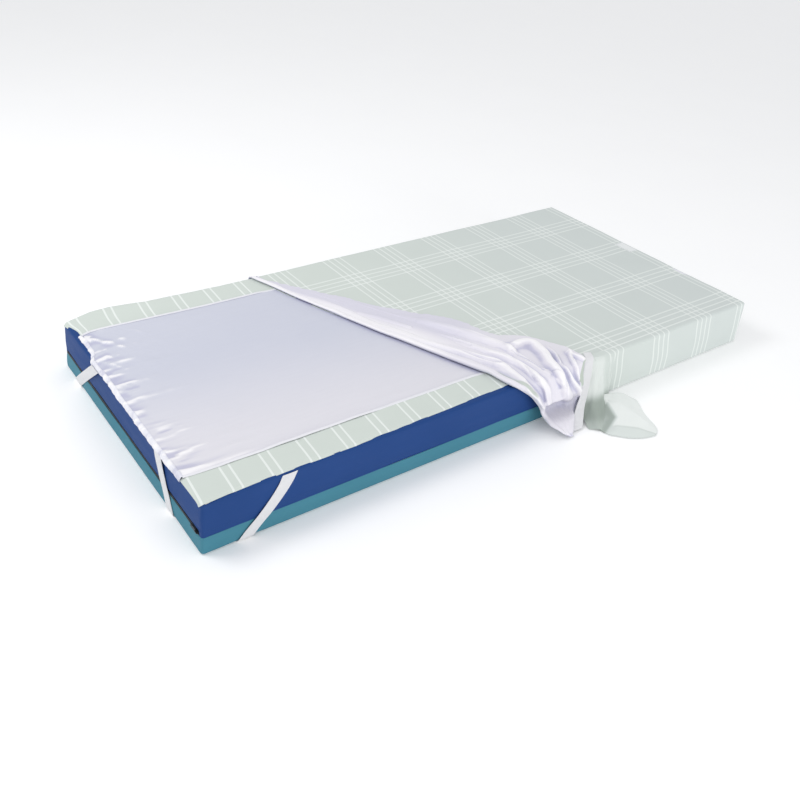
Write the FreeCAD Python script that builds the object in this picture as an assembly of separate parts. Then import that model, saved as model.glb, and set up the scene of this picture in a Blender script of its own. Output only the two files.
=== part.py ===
import FreeCAD, Part
import os

# Foam pressure relief mattress in a two-part zipped cover, dressed with a low-friction
# glide sheet and a fitted sheet whose foot corner is turned back over the middle.
# Frame: origin at the centre of the underside, +X towards the head end, +Z up,
# -Y the front long side and +Y the rear one. Millimetres.
# In the functions, end is -1 at the foot and 1 at the head; side is -1 front and 1 rear.

V = FreeCAD.Vector

# ---- mattress ----
LENGTH = 2000.0
WIDTH = 900.0
HEIGHT = 145.0
CORNER_R = 10.0          # plan radius of the four vertical edges
TOP_EDGE_R = 8.0
BOTTOM_EDGE_R = 4.0
FOOT = -LENGTH / 2
HEAD = LENGTH / 2
HALF_W = WIDTH / 2

# ---- profiling lines between the four sections ----
KNEE_X = -440.0
THIGH_X = -80.0
BACK_X = 270.0
KERF = 1.0               # relief cut between two sections
SECTIONS = {
    "calf": (FOOT - 100.0, KNEE_X - KERF / 2),
    "thigh": (KNEE_X + KERF / 2, THIGH_X - KERF / 2),
    "seat": (THIGH_X + KERF / 2, BACK_X - KERF / 2),
    "back": (BACK_X + KERF / 2, HEAD + 100.0),
}

os.makedirs("parts", exist_ok=True)


# ================================ helpers ================================
def box(x0, x1, y0, y1, z0, z1):
    return Part.makeBox(x1 - x0, y1 - y0, z1 - z0, V(x0, y0, z0))


def slab(z0, z1):
    """Cutting block that covers the whole mattress in plan."""
    return box(FOOT - 5, HEAD + 5, -500, 500, z0, z1)


def face(points):
    return Part.Face(Part.makePolygon(points + [points[0]]))


def prism_z(outline, z0, z1):
    """Upright prism from (x, y) points."""
    return face([V(x, y, z0) for x, y in outline]).extrude(V(0, 0, z1 - z0))


def prism_x(outline, x0, x1):
    """Lengthwise prism from (y, z) points."""
    return face([V(x0, y, z) for y, z in outline]).extrude(V(x1 - x0, 0, 0))


def edges_at(shape, z):
    return [e for e in shape.Edges
            if abs(e.BoundBox.ZMin - z) < 1e-6 and abs(e.BoundBox.ZMax - z) < 1e-6]


def rounded(x0, x1, y0, y1, z0, z1, plan_r, top_r=0.0, bottom_r=0.0):
    block = box(x0, x1, y0, y1, z0, z1)
    upright = [e for e in block.Edges
               if abs(e.Vertexes[0].Z - e.Vertexes[1].Z) > 0.5 * (z1 - z0)]
    block = block.makeFillet(plan_r, upright)
    if top_r:
        block = block.makeFillet(top_r, edges_at(block, z1))
    if bottom_r:
        block = block.makeFillet(bottom_r, edges_at(block, z0))
    return block


def save(shape, name):
    """Write the shape's solids, leaving out slivers of up to 1 mm3."""
    solids = [s for s in shape.Solids if s.Volume > 1.0]
    if not solids or not all(s.isValid() for s in solids):
        raise RuntimeError("bad solid in " + name)
    piece = solids[0] if len(solids) == 1 else Part.makeCompound(solids)
    piece.exportStep("parts/" + name + ".step")


def save_sections(shape, name, sections=tuple(SECTIONS)):
    for section in sections:
        x0, x1 = SECTIONS[section]
        save(shape.common(box(x0, x1, -900.0, 900.0, -50.0, 400.0)), name + "_" + section)


# ================================ corner straps ================================
# Elastic straps: down the end wall, under the corner, up the long side.
STRAP_T = 1.0
STRAP_SIDE_GAP = 1.2     # stand-off from the long side
STRAP_TOP = HEIGHT - 0.1
STRAP_BOTTOM = 0.05
CHANNEL_MARGIN = 1.5     # room round the strap in its channel
CHANNEL_TOP = 1.3

# (end, side, stand-off from the end wall, half width, end path, side path)
# Path points are (height, distance), top to bottom. The distance is from the centre line
# on the end wall, and from the end on the long side.
STRAPS = {
    "corner_strap_foot_front": (
        -1, -1, 9.0, 22.0,
        [(STRAP_TOP, 203.0), (94.0, 233.0), (44.0, 263.0), (STRAP_BOTTOM, 285.0)],
        [(STRAP_TOP, 215.0), (106.0, 193.0), (52.0, 153.0), (STRAP_BOTTOM, 110.0)]),
    "corner_strap_foot_rear": (
        -1, 1, 9.0, 24.0,
        [(STRAP_TOP, 178.0), (81.0, 258.0), (33.0, 313.0), (STRAP_BOTTOM, 350.0)],
        [(STRAP_TOP, 150.0), (STRAP_BOTTOM, 110.0)]),
    "corner_strap_head_front": (
        1, -1, 0.3, 16.0,
        [(STRAP_TOP, 250.0), (STRAP_BOTTOM, 290.0)],
        [(STRAP_TOP, 180.0), (STRAP_BOTTOM, 110.0)]),
    "corner_strap_head_rear": (
        1, 1, 0.3, 16.0,
        [(STRAP_TOP, 250.0), (STRAP_BOTTOM, 290.0)],
        [(STRAP_TOP, 180.0), (STRAP_BOTTOM, 110.0)]),
}


def strap_under_face(end, side, end_gap, half_w, end_path, side_path, z):
    """Plan of the strap's run under the corner."""
    x_out = end * (HEAD + end_gap + STRAP_T)
    y_out = side * (HALF_W + STRAP_SIDE_GAP + STRAP_T)
    end_y = end_path[-1][1]
    side_x = end * (HEAD - side_path[-1][1])
    return face([V(x_out, side * (end_y - half_w), z), V(x_out, side * (end_y + half_w), z),
                 V(side_x + end * half_w, y_out, z), V(side_x - end * half_w, y_out, z)])


def strap(end, side, end_gap, half_w, end_path, side_path):
    x_in = end * (HEAD + end_gap)
    y_in = side * (HALF_W + STRAP_SIDE_GAP)
    outline = [(side * (d - half_w), z) for z, d in end_path]
    outline += [(side * (d + half_w), z) for z, d in reversed(end_path)]
    end_run = prism_x(outline, x_in, x_in + end * STRAP_T)

    line = [(end * (HEAD - d), z) for z, d in side_path]
    corners = [V(x - half_w, y_in, z) for x, z in line]
    corners += [V(x + half_w, y_in, z) for x, z in reversed(line)]
    side_run = face(corners).extrude(V(0, side * STRAP_T, 0))

    under = strap_under_face(end, side, end_gap, half_w, end_path, side_path, STRAP_BOTTOM)
    return end_run.fuse([side_run, under.extrude(V(0, 0, STRAP_T))]).removeSplitter()


def strap_channel(path):
    """Shallow channel under the corner, so that the strap lies flush with the underside."""
    z0 = -1.0
    plan = strap_under_face(*path, z=z0).makeOffset2D(CHANNEL_MARGIN)
    return plan.extrude(V(0, 0, CHANNEL_TOP - z0))


for strap_name, strap_path in STRAPS.items():
    save(strap(*strap_path), strap_name)

# ================================ mattress cover ================================
COVER_T = 1.0            # side and top cloth
BASE_T = 2.5             # non-slip underside of the lower cover
LOWER_COVER_H = 48.0     # height of the lower cover's wall
COVER_SPLIT = 0.3        # gap between the two covers away from the zip
ZIP_SLOT_H = 14.0        # gap between the two covers at the zip
ZIP_HALF = 437.0         # half length of the zip


def cover_shell():
    hull = rounded(FOOT, HEAD, -HALF_W, HALF_W, 0.0, HEIGHT,
                   CORNER_R, TOP_EDGE_R, BOTTOM_EDGE_R)
    hollow = rounded(FOOT + COVER_T, HEAD - COVER_T, -HALF_W + COVER_T, HALF_W - COVER_T,
                     BASE_T, HEIGHT - COVER_T,
                     CORNER_R - COVER_T, TOP_EDGE_R - COVER_T, BOTTOM_EDGE_R - COVER_T)
    return hull.cut(hollow)


def upper_cover(shell):
    zip_slot = box(FOOT - 5, FOOT + COVER_T + 0.01, -ZIP_HALF - 1, ZIP_HALF + 1,
                   LOWER_COVER_H, LOWER_COVER_H + ZIP_SLOT_H)
    return shell.common(slab(LOWER_COVER_H + COVER_SPLIT, HEIGHT + 5)).cut(zip_slot)


def lower_cover(shell):
    wall_and_base = shell.common(slab(-5, LOWER_COVER_H))
    return wall_and_base.cut([strap_channel(path) for path in STRAPS.values()])


cover = cover_shell()
save_sections(upper_cover(cover), "upper_cover")
save_sections(lower_cover(cover), "lower_cover")

# ================================ foam core ================================
FOAM_FOOT_GAP = 3.0      # from the foot face, leaving room for the zip
FOAM_SIDE_GAP = 0.2      # to the cover at the sides and the head
FOAM_FLAT_GAP = 0.1      # to the cover above and below, and between the two layers
BASE_FOAM_TOP = 80.0
GROOVE_W = 5.0
GROOVE_D = 30.0
GROOVE_Y = (-300.0, -150.0, 0.0, 150.0, 300.0)
GROOVE_PITCH_X = 100.0
GROOVE_CLEAR = 25.0      # cross grooves this near a profiling line are left out


def foam_core():
    side = COVER_T + FOAM_SIDE_GAP
    return rounded(FOOT + FOAM_FOOT_GAP, HEAD - side, -HALF_W + side, HALF_W - side,
                   BASE_T + FOAM_FLAT_GAP, HEIGHT - COVER_T - FOAM_FLAT_GAP,
                   CORNER_R - COVER_T - 0.4, TOP_EDGE_R - COVER_T + 0.2,
                   BOTTOM_EDGE_R - COVER_T + 0.2)


def foam_base(core):
    half = GROOVE_W / 2
    z0, z1 = BASE_FOAM_TOP - GROOVE_D, BASE_FOAM_TOP + 1
    grooves = [box(FOOT - 5, HEAD + 5, y - half, y + half, z0, z1) for y in GROOVE_Y]
    x = FOOT + 60.0
    while x < HEAD - 40.0:
        if min(abs(x - line) for line in (KNEE_X, THIGH_X, BACK_X)) > GROOVE_CLEAR:
            grooves.append(box(x - half, x + half, -500, 500, z0, z1))
        x += GROOVE_PITCH_X
    return core.common(slab(-5, BASE_FOAM_TOP)).cut(grooves)


foam = foam_core()
save_sections(foam_base(foam), "foam_base")
save_sections(foam.common(slab(BASE_FOAM_TOP + FOAM_FLAT_GAP, HEIGHT + 5)),
              "foam_comfort_layer")

# ================================ zip at the foot end ================================
ZIP_Z = LOWER_COVER_H + ZIP_SLOT_H / 2   # centre line of the chain
TAPE_GAP = 0.6           # from the centre line to each tape
TAPE_H = 12.0
COIL_GAP = 1.0           # room for the slider's neck
COIL_H = 3.0
COIL_SPINE_H = 1.2
COIL_PITCH = 4.0
COIL_END = 4.0           # the coils stop this far short of the zip's ends
TOOTH_W = 2.4            # at the root
TOOTH_TAPER = 0.4        # on each flank
STOP_HALF_W = 1.6
STOP_HALF_H = 3.4
SLIDER_Y = -ZIP_HALF + 8.0   # parked at the front corner
SLIDER_L = 12.0
SLIDER_H = 10.0
PULL_X = FOOT - 3.6      # axis of the pull's bar
PULL_L = 30.0
PULL_T = 1.2
PULL_HALF_H = 4.2


def zip_tape(z0):
    return box(FOOT + 1.1, FOOT + 1.7, -ZIP_HALF, ZIP_HALF, z0, z0 + TAPE_H)


def zip_coil(sign):
    """One coil row as a comb: a spine with teeth pointing at the centre line.
    sign is 1 for the upper row and -1 for the lower, which is half a pitch out of step."""
    z_tip = ZIP_Z + sign * COIL_GAP / 2
    z_root = ZIP_Z + sign * (COIL_GAP / 2 + COIL_H - COIL_SPINE_H)
    z_back = ZIP_Z + sign * (COIL_GAP / 2 + COIL_H)
    y0, y1 = -ZIP_HALF + COIL_END, ZIP_HALF - COIL_END
    outline = [(y0, z_back), (y1, z_back), (y1, z_root)]
    y = y1 - 2.0 - (0.0 if sign > 0 else COIL_PITCH / 2)
    while y - TOOTH_W > y0 + 1.0:
        outline += [(y, z_root), (y - TOOTH_TAPER, z_tip),
                    (y - TOOTH_W + TOOTH_TAPER, z_tip), (y - TOOTH_W, z_root)]
        y -= COIL_PITCH
    outline.append((y0, z_root))
    return prism_x(outline, FOOT - 0.8, FOOT + 1.0)


def zip_end_stops():
    return Part.makeCompound([
        box(FOOT - 0.9, FOOT + 1.0, y - STOP_HALF_W, y + STOP_HALF_W,
            ZIP_Z - STOP_HALF_H, ZIP_Z + STOP_HALF_H)
        for y in (-ZIP_HALF + 1.7, ZIP_HALF - 1.7)])


def slider_plate(x0, x1):
    half_l, half_h = SLIDER_L / 2, SLIDER_H / 2
    # (y, z) in half lengths and half heights
    shape = [(-1, -0.7), (-0.4, -1), (1, -0.8), (1, 0.8), (-0.4, 1), (-1, 0.7)]
    return prism_x([(SLIDER_Y + half_l * y, ZIP_Z + half_h * z) for y, z in shape], x0, x1)


def zip_slider():
    """Outer plate, plate behind the coils, neck between the coils, arch for the pull."""
    y = SLIDER_Y
    outer_plate = slider_plate(FOOT - 2.5, FOOT - 1.0)
    inner_plate = slider_plate(FOOT + 1.9, FOOT + 2.6)
    neck = box(FOOT - 1.1, FOOT + 2.0, y - 1.5, y + 4.5, ZIP_Z - 0.35, ZIP_Z + 0.35)
    arch = box(FOOT - 6.0, FOOT - 2.4, y - 5.0, y + 5.0, ZIP_Z - 1.5, ZIP_Z + 1.5)
    arch = arch.cut(box(FOOT - 4.8, FOOT - 2.5, y - 3.6, y + 3.6, ZIP_Z - 2.0, ZIP_Z + 2.0))
    return outer_plate.fuse([inner_plate, neck, arch]).removeSplitter()


def zip_pull():
    """Tab on two arms, joined by a bar through the slider's arch."""
    x0, x1 = PULL_X - PULL_T / 2, PULL_X + PULL_T / 2
    root, tip = SLIDER_Y + 7.0, SLIDER_Y + PULL_L
    lower_arm, upper_arm = [
        box(x0, x1, SLIDER_Y - 0.6, SLIDER_Y + 8.0, z - 1.2, z + 1.2)
        for z in (ZIP_Z - 3.0, ZIP_Z + 3.0)]
    bar = Part.makeCylinder(0.7, 2 * PULL_HALF_H, V(PULL_X, SLIDER_Y, ZIP_Z - PULL_HALF_H),
                            V(0, 0, 1))
    outline = [(root, -PULL_HALF_H), (tip - 3.0, -PULL_HALF_H), (tip, -2.4),
               (tip, 2.4), (tip - 3.0, PULL_HALF_H), (root, PULL_HALF_H)]
    tab = prism_x([(y, ZIP_Z + z) for y, z in outline], x0, x1)
    hole = Part.makeCylinder(1.6, 4.0, V(PULL_X - 2.0, tip - 5.0, ZIP_Z), V(1, 0, 0))
    return lower_arm.fuse([upper_arm, bar, tab]).removeSplitter().cut(hole)


save(zip_tape(ZIP_Z - TAPE_GAP - TAPE_H), "zip_tape_lower")
save(zip_tape(ZIP_Z + TAPE_GAP), "zip_tape_upper")
save(zip_coil(1), "zip_coil_upper")
save(zip_coil(-1), "zip_coil_lower")
save(zip_end_stops(), "zip_end_stops")
save(zip_slider(), "zip_slider")
save(zip_pull(), "zip_pull")

# ================================ glide sheet ================================
GLIDE_Z = HEIGHT + 0.1
GLIDE_TOP = GLIDE_Z + 0.8
GLIDE_INSET = 2.2        # panel ends from the end faces
PANEL_HALF = 344.9
SEAM_IN = PANEL_HALF + 0.1
SEAM_OUT = SEAM_IN + 8.0
BAND_OUT = 447.0         # outer edge of the side bands
BAND_FOOT_OVERHANG = 4.0
BAND_CORNER_R = 16.0
HEM_RISE = 0.6           # hem's top above the panel
HEM_LIP_DROP = 8.0


def glide_seam_tapes():
    tapes = []
    for side in (-1, 1):
        y0, y1 = sorted((side * SEAM_IN, side * SEAM_OUT))
        tapes.append(box(FOOT + GLIDE_INSET, HEAD - GLIDE_INSET, y0, y1,
                         GLIDE_Z, GLIDE_TOP + 0.5))
    return Part.makeCompound(tapes)


def glide_side_bands():
    plan = rounded(FOOT - BAND_FOOT_OVERHANG, HEAD - GLIDE_INSET, -BAND_OUT, BAND_OUT,
                   GLIDE_Z, GLIDE_TOP, BAND_CORNER_R)
    return plan.cut(box(FOOT - 50, HEAD + 50, -SEAM_OUT - 0.1, SEAM_OUT + 0.1, 0, 300))


def glide_hem(end, overhang, lip_t):
    """Flat strip over the end face with a lip hanging from its outer edge."""
    x_out = end * (HEAD + overhang)
    top = GLIDE_TOP + HEM_RISE
    x0, x1 = sorted((end * (HEAD - GLIDE_INSET + 0.1), x_out))
    flat = box(x0, x1, -SEAM_OUT, SEAM_OUT, GLIDE_Z, top)
    x0, x1 = sorted((x_out, x_out - end * lip_t))
    lip = box(x0, x1, -SEAM_OUT, SEAM_OUT, GLIDE_Z - HEM_LIP_DROP, top)
    return flat.fuse(lip).removeSplitter()


save_sections(box(FOOT + GLIDE_INSET, HEAD - GLIDE_INSET, -PANEL_HALF, PANEL_HALF,
                  GLIDE_Z, GLIDE_TOP), "glide_panel")
save_sections(glide_seam_tapes(), "glide_seam_tapes")
save_sections(glide_side_bands(), "glide_side_bands")
save(glide_hem(-1, overhang=12.0, lip_t=1.6), "glide_foot_hem")
save(glide_hem(1, overhang=2.5, lip_t=0.8), "glide_head_hem")

# ================================ fitted sheet ================================
SHEET_Z = 147.2
SHEET_T = 1.0
SHEET_TOP = SHEET_Z + SHEET_T
SHEET_GAP = 4.0          # wall's stand-off from the mattress
SHEET_EDGE_R = 4.0       # outside radius along the top edge

# (x, y) of the fold where the sheet turns back on itself, from the rear to the front edge.
FOLD = [(-388.0, 466.0), (-372.0, 363.0), (-304.0, 159.0), (-191.0, -102.0),
        (-91.0, -322.0), (-50.0, -420.0), (-36.0, -462.0)]
# (x, y) of the far hem of the turned-back part, rear to front.
FAR_HEM = [(-330.0, 440.0), (-266.0, 340.0), (-205.0, 255.0), (-150.0, 149.0),
           (-60.0, 30.0), (20.0, -70.0), (90.0, -170.0), (170.0, -270.0),
           (235.0, -345.0), (262.0, -400.0), (266.0, -424.0)]


def around_mattress(x0, gap, z0, z1, top_r=0.0):
    """Block standing off the head and both sides by gap, its corners concentric with them."""
    return rounded(x0, HEAD + gap, -HALF_W - gap, HALF_W + gap, z0, z1, CORNER_R + gap, top_r)


def fitted_sheet():
    outer = around_mattress(FOOT + 100, SHEET_GAP + SHEET_T, 1.0, SHEET_TOP, SHEET_EDGE_R)
    inner = around_mattress(FOOT + 90, SHEET_GAP, -5.0, SHEET_Z, SHEET_EDGE_R - SHEET_T)
    headward = FOLD + [(320.0, -462.0), (320.0, -480.0), (1100.0, -480.0),
                       (1100.0, 480.0), (-388.0, 480.0)]
    sheet = outer.cut(inner).common(prism_z(headward, -10, 300))
    # the front wall is missing where the foot corner has been pulled up
    return sheet.cut(box(-100.0, BACK_X, -500.0, -HALF_W + 18.0, -10, 300.0))


def sheet_elastic():
    """Band just inside the bottom of the wall, open where the wall is missing."""
    ring = around_mattress(-500.0, SHEET_GAP - 0.3, 2.0, 9.0)
    ring = ring.cut(around_mattress(-600.0, SHEET_GAP - 1.2, 0.0, 12.0))
    ring = ring.cut(box(-700.0, -380.0, -700.0, 700.0, -10, 100))
    return ring.cut(box(-700.0, BACK_X, -700.0, 0.0, -10, 100))


def turned_back_flap():
    outline = [(x + 3.0, y) for x, y in FOLD[1:-1]] + FAR_HEM[::-1]
    return prism_z(outline, SHEET_TOP + 0.3, SHEET_TOP + 16.0)


save_sections(fitted_sheet(), "fitted_sheet", ("thigh", "seat", "back"))
save_sections(sheet_elastic(), "sheet_elastic", ("thigh", "seat", "back"))
save_sections(turned_back_flap(), "turned_back_flap", ("thigh", "seat"))
save(box(HEAD - 46.0, HEAD - 4.0, 2.0, 76.0, SHEET_TOP + 0.1, SHEET_TOP + 0.6), "care_label")

# ================================ hanging foot corner ================================
# The sheet's foot corner, gathered over the front edge and down to the ground.
# Stations: (x, height of the crest, bottom of the cloth,
#            distance out from the centre line at mid height, the same at the bottom)
HANGING = {
    "gathered_lining": [
        (-66.0, 161.0, 128.0, 462.0, 463.0), (0.0, 168.0, 96.0, 472.0, 474.0),
        (40.0, 171.0, 48.0, 480.0, 486.0), (64.0, 172.0, 0.3, 488.0, 508.0),
        (100.0, 172.0, 0.3, 501.0, 555.0), (150.0, 170.0, 0.3, 506.0, 556.0),
        (186.0, 166.0, 0.3, 500.0, 545.0)],
    "pocket_elastic": [
        (186.3, 164.0, 0.3, 499.0, 544.0), (212.0, 162.0, 0.3, 493.0, 518.0)],
    "corner_pocket": [
        (212.3, 162.0, 0.3, 493.0, 518.0), (240.0, 158.0, 0.3, 478.0, 492.0),
        (BACK_X - 1.0, 154.0, 0.3, 466.0, 468.0)],
}

# Loose end of the corner on the ground beside the mattress: (x, y) outline.
TAIL = [(150.0, -561.0), (187.0, -549.5), (271.0, -474.0), (271.0, -460.0),
        (353.0, -460.0), (412.0, -512.0), (385.0, -565.0), (358.0, -620.0),
        (342.0, -657.0), (300.0, -683.0), (229.0, -659.0), (169.0, -595.0)]
TAIL_MID = (285.0, -560.0)   # point the outline shrinks towards
# (scale of the outline, z), flat underneath and domed on top
TAIL_LAYERS = [(1.0, 0.3), (1.0, 8.0), (0.86, 26.0), (0.5, 42.0)]


def loft(loops):
    """Ruled solid through loops of points."""
    return Part.makeLoft([Part.makePolygon(loop + [loop[0]]) for loop in loops], True, True)


def hanging_loop(x, crest, bottom, mid_out, low_out):
    mid_z = max(80.0, bottom + 12.0)
    inner_z = 143.0 if bottom < 120.0 else 144.0
    outline = [(-426.0, 148.8), (-432.0, crest), (-455.0, crest - 3.0), (-mid_out, mid_z),
               (-low_out, bottom), (-459.0, bottom), (-456.0, inner_z), (-446.0, 147.5)]
    return [V(x, y, z) for y, z in outline]


def tail_loop(scale, z):
    mid_x, mid_y = TAIL_MID
    return [V(mid_x + (x - mid_x) * scale, mid_y + (y - mid_y) * scale, z) for x, y in TAIL]


for piece_name, stations in HANGING.items():
    save(loft([hanging_loop(*station) for station in stations]), piece_name)
save(loft([tail_loop(scale, z) for scale, z in TAIL_LAYERS]), "corner_tail")
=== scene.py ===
import bpy, bmesh, math
import numpy as np
from mathutils import Vector, Matrix
from mathutils.geometry import delaunay_2d_cdt


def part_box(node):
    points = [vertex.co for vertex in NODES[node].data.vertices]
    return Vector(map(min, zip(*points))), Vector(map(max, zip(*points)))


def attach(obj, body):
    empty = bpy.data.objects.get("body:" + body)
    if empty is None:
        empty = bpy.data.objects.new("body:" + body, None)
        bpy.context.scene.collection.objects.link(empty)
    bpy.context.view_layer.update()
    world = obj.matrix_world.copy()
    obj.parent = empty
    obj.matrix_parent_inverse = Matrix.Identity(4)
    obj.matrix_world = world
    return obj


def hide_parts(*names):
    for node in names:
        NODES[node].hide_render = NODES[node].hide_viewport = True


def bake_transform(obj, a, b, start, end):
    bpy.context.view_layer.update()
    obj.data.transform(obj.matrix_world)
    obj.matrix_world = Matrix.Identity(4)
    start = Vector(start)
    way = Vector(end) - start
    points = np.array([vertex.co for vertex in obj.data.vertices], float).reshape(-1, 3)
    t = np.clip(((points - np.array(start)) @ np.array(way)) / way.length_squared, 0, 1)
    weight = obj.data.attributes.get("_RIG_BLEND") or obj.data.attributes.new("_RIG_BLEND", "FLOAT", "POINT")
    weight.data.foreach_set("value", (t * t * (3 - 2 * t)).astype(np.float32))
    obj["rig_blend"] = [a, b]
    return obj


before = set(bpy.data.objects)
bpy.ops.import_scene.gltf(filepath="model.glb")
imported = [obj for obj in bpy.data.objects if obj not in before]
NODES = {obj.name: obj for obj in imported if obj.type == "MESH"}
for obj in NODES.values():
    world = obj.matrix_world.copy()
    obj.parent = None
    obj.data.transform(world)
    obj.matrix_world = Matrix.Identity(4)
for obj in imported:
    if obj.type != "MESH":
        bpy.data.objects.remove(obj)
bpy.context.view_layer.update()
NODE_BOX = {n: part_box(n) for n in NODES}

FOOT, HEAD = -1.0, 1.0
TOP = NODE_BOX["upper_cover_calf"][1].z            # 0.145, top of the mattress proper
SEAM_Z = NODE_BOX["lower_cover_calf"][1].z         # 0.048
THIGH_X = NODE_BOX["foam_base_seat"][0].x - 0.0005
BACK_X = NODE_BOX["foam_base_seat"][1].x + 0.0005
KNEE_X = NODE_BOX["foam_base_calf"][1].x + 0.0005

# where cloth and foam bend: (body, body, start x, end x), and where a long piece is cut between two bends
ZONES = [("calf", "thigh", KNEE_X - 0.09, KNEE_X + 0.09), ("thigh", "seat", THIGH_X - 0.09, THIGH_X + 0.09),
         ("seat", "back", BACK_X - 0.09, BACK_X + 0.11)]
CUTS = (0.5 * (KNEE_X + THIGH_X), 0.5 * (THIGH_X + BACK_X))


# ------------------------------------------------------------------------------------------ numbers
def noise(u, v, su, sv, seed, octaves=1):
    u, v = np.asarray(u, float), np.asarray(v, float)
    out, amp, tot = 0.0, 1.0, 0.0
    for o in range(octaves):
        g = np.random.RandomState(seed + 17 * o).rand(64, 64) * 2 - 1
        a, b = u / su * 2 ** o + 137.31, v / sv * 2 ** o + 211.77
        i, j = np.floor(a).astype(int), np.floor(b).astype(int)
        fa, fb = a - i, b - j
        fa, fb = fa ** 3 * (fa * (6 * fa - 15) + 10), fb ** 3 * (fb * (6 * fb - 15) + 10)
        i0, i1, j0, j1 = i % 64, (i + 1) % 64, j % 64, (j + 1) % 64
        out = out + amp * ((g[i0, j0] * (1 - fa) + g[i1, j0] * fa) * (1 - fb) + (g[i0, j1] * (1 - fa) + g[i1, j1] * fa) * fb)
        tot += amp
        amp *= 0.5
    return out / tot


def smooth(x, a, b):
    t = np.clip((np.asarray(x, float) - a) / (b - a), 0, 1)
    return t * t * (3 - 2 * t)


def pchip(x, y, xi):
    """Monotone cubic through the points (x, y[...]) at xi."""
    x, y, xi = np.asarray(x, float), np.asarray(y, float), np.asarray(xi, float)
    shape = y.shape[1:]
    y = y.reshape(len(x), -1)
    h = np.diff(x)
    d = np.diff(y, axis=0) / h[:, None]
    m = np.zeros_like(y)
    w1, w2 = (2 * h[1:] + h[:-1])[:, None], (h[1:] + 2 * h[:-1])[:, None]
    same = d[:-1] * d[1:] > 0
    with np.errstate(divide="ignore", invalid="ignore"):
        inner = (w1 + w2) / (w1 / d[:-1] + w2 / d[1:])
    m[1:-1] = np.where(same, inner, 0)
    m[0], m[-1] = d[0], d[-1]
    k = np.clip(np.searchsorted(x, xi, side="right") - 1, 0, len(x) - 2)
    t = ((xi - x[k]) / h[k])[:, None]
    hk = h[k][:, None]
    out = ((1 + 2 * t) * (1 - t) ** 2 * y[k] + t * (1 - t) ** 2 * hk * m[k] + t * t * (3 - 2 * t) * y[k + 1]
           + t * t * (t - 1) * hk * m[k + 1])
    return out.reshape((len(xi),) + shape)


def unit(v):
    return v / np.maximum(np.linalg.norm(v, axis=-1, keepdims=True), 1e-12)


def grid_normals(p):
    return unit(np.cross(np.gradient(p, axis=0), np.gradient(p, axis=1)))


def merged(*parts):
    """Sorted union of coordinate lists, without near repeats."""
    x = np.sort(np.concatenate([np.atleast_1d(np.asarray(a, float)) for a in parts]))
    keep = np.concatenate([[True], np.diff(x) > 2e-4])
    return x[keep]


# ------------------------------------------------------------------------------------------ meshes
def mesh_object(name, verts, faces, uv=None, attrs=None, normals=None, flat=None):
    me = bpy.data.meshes.new(name)
    me.from_pydata(np.asarray(verts, float).tolist(), [], [tuple(int(i) for i in f) for f in faces])
    me.update()
    if uv is not None:
        lay = me.uv_layers.new(name="UVMap")
        loop_v = np.zeros(len(me.loops), np.int32)
        me.loops.foreach_get("vertex_index", loop_v)
        uv = np.asarray(uv, float)
        data = uv if len(uv) == len(me.loops) and len(uv) != len(verts) else uv[loop_v]
        lay.data.foreach_set("uv", data.astype(np.float32).ravel())
    for k, a in (attrs or {}).items():
        at = me.attributes.new(k, "FLOAT", "POINT")
        at.data.foreach_set("value", np.asarray(a, np.float32).ravel())
    if normals is not None:
        at = me.attributes.new("rest_n", "FLOAT_VECTOR", "POINT")
        at.data.foreach_set("vector", np.asarray(normals, np.float32).ravel())
    ob = bpy.data.objects.new(name, me)
    bpy.context.scene.collection.objects.link(ob)
    sm = np.ones(len(me.polygons), bool)
    if flat is not None:
        sm[flat:] = False
    me.polygons.foreach_set("use_smooth", sm)
    return ob


def shell(name, p, uv, t, side=1, attrs=None, wrap_rows=False, nrm=None):
    """Closed thin cloth: p[m, n, 3] is the visible face, side the sign of its outward normal."""
    m, n = p.shape[:2]
    nn = (grid_normals(p) * side) if nrm is None else nrm
    top, bot = p.reshape(-1, 3), (p - nn * t).reshape(-1, 3)
    idx = np.arange(m * n).reshape(m, n)
    a, b, c, d = idx[:-1, :-1], idx[1:, :-1], idx[1:, 1:], idx[:-1, 1:]
    q = np.stack([a, b, c, d], -1).reshape(-1, 4)
    if side < 0:
        q = q[:, ::-1]
    k = m * n
    faces = [q, q[:, ::-1] + k]
    loop = np.concatenate([idx[:, 0], idx[-1, 1:], idx[-2::-1, -1], idx[0, -2:0:-1]])
    nxt = np.roll(loop, -1)
    rim = np.stack([loop, loop + k, nxt + k, nxt], -1)
    if side < 0:
        rim = rim[:, ::-1]
    flat = 2 * len(q)
    faces.append(rim)
    faces = np.concatenate(faces)
    uvs = np.concatenate([uv.reshape(-1, 2)] * 2)
    at = {key: np.concatenate([np.asarray(v, float).ravel()] * 2) for key, v in (attrs or {}).items()}
    fl = nn.reshape(-1, 3)
    return mesh_object(name, np.concatenate([top, bot]), faces, uvs, at, np.concatenate([fl, -fl]), flat)


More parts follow.
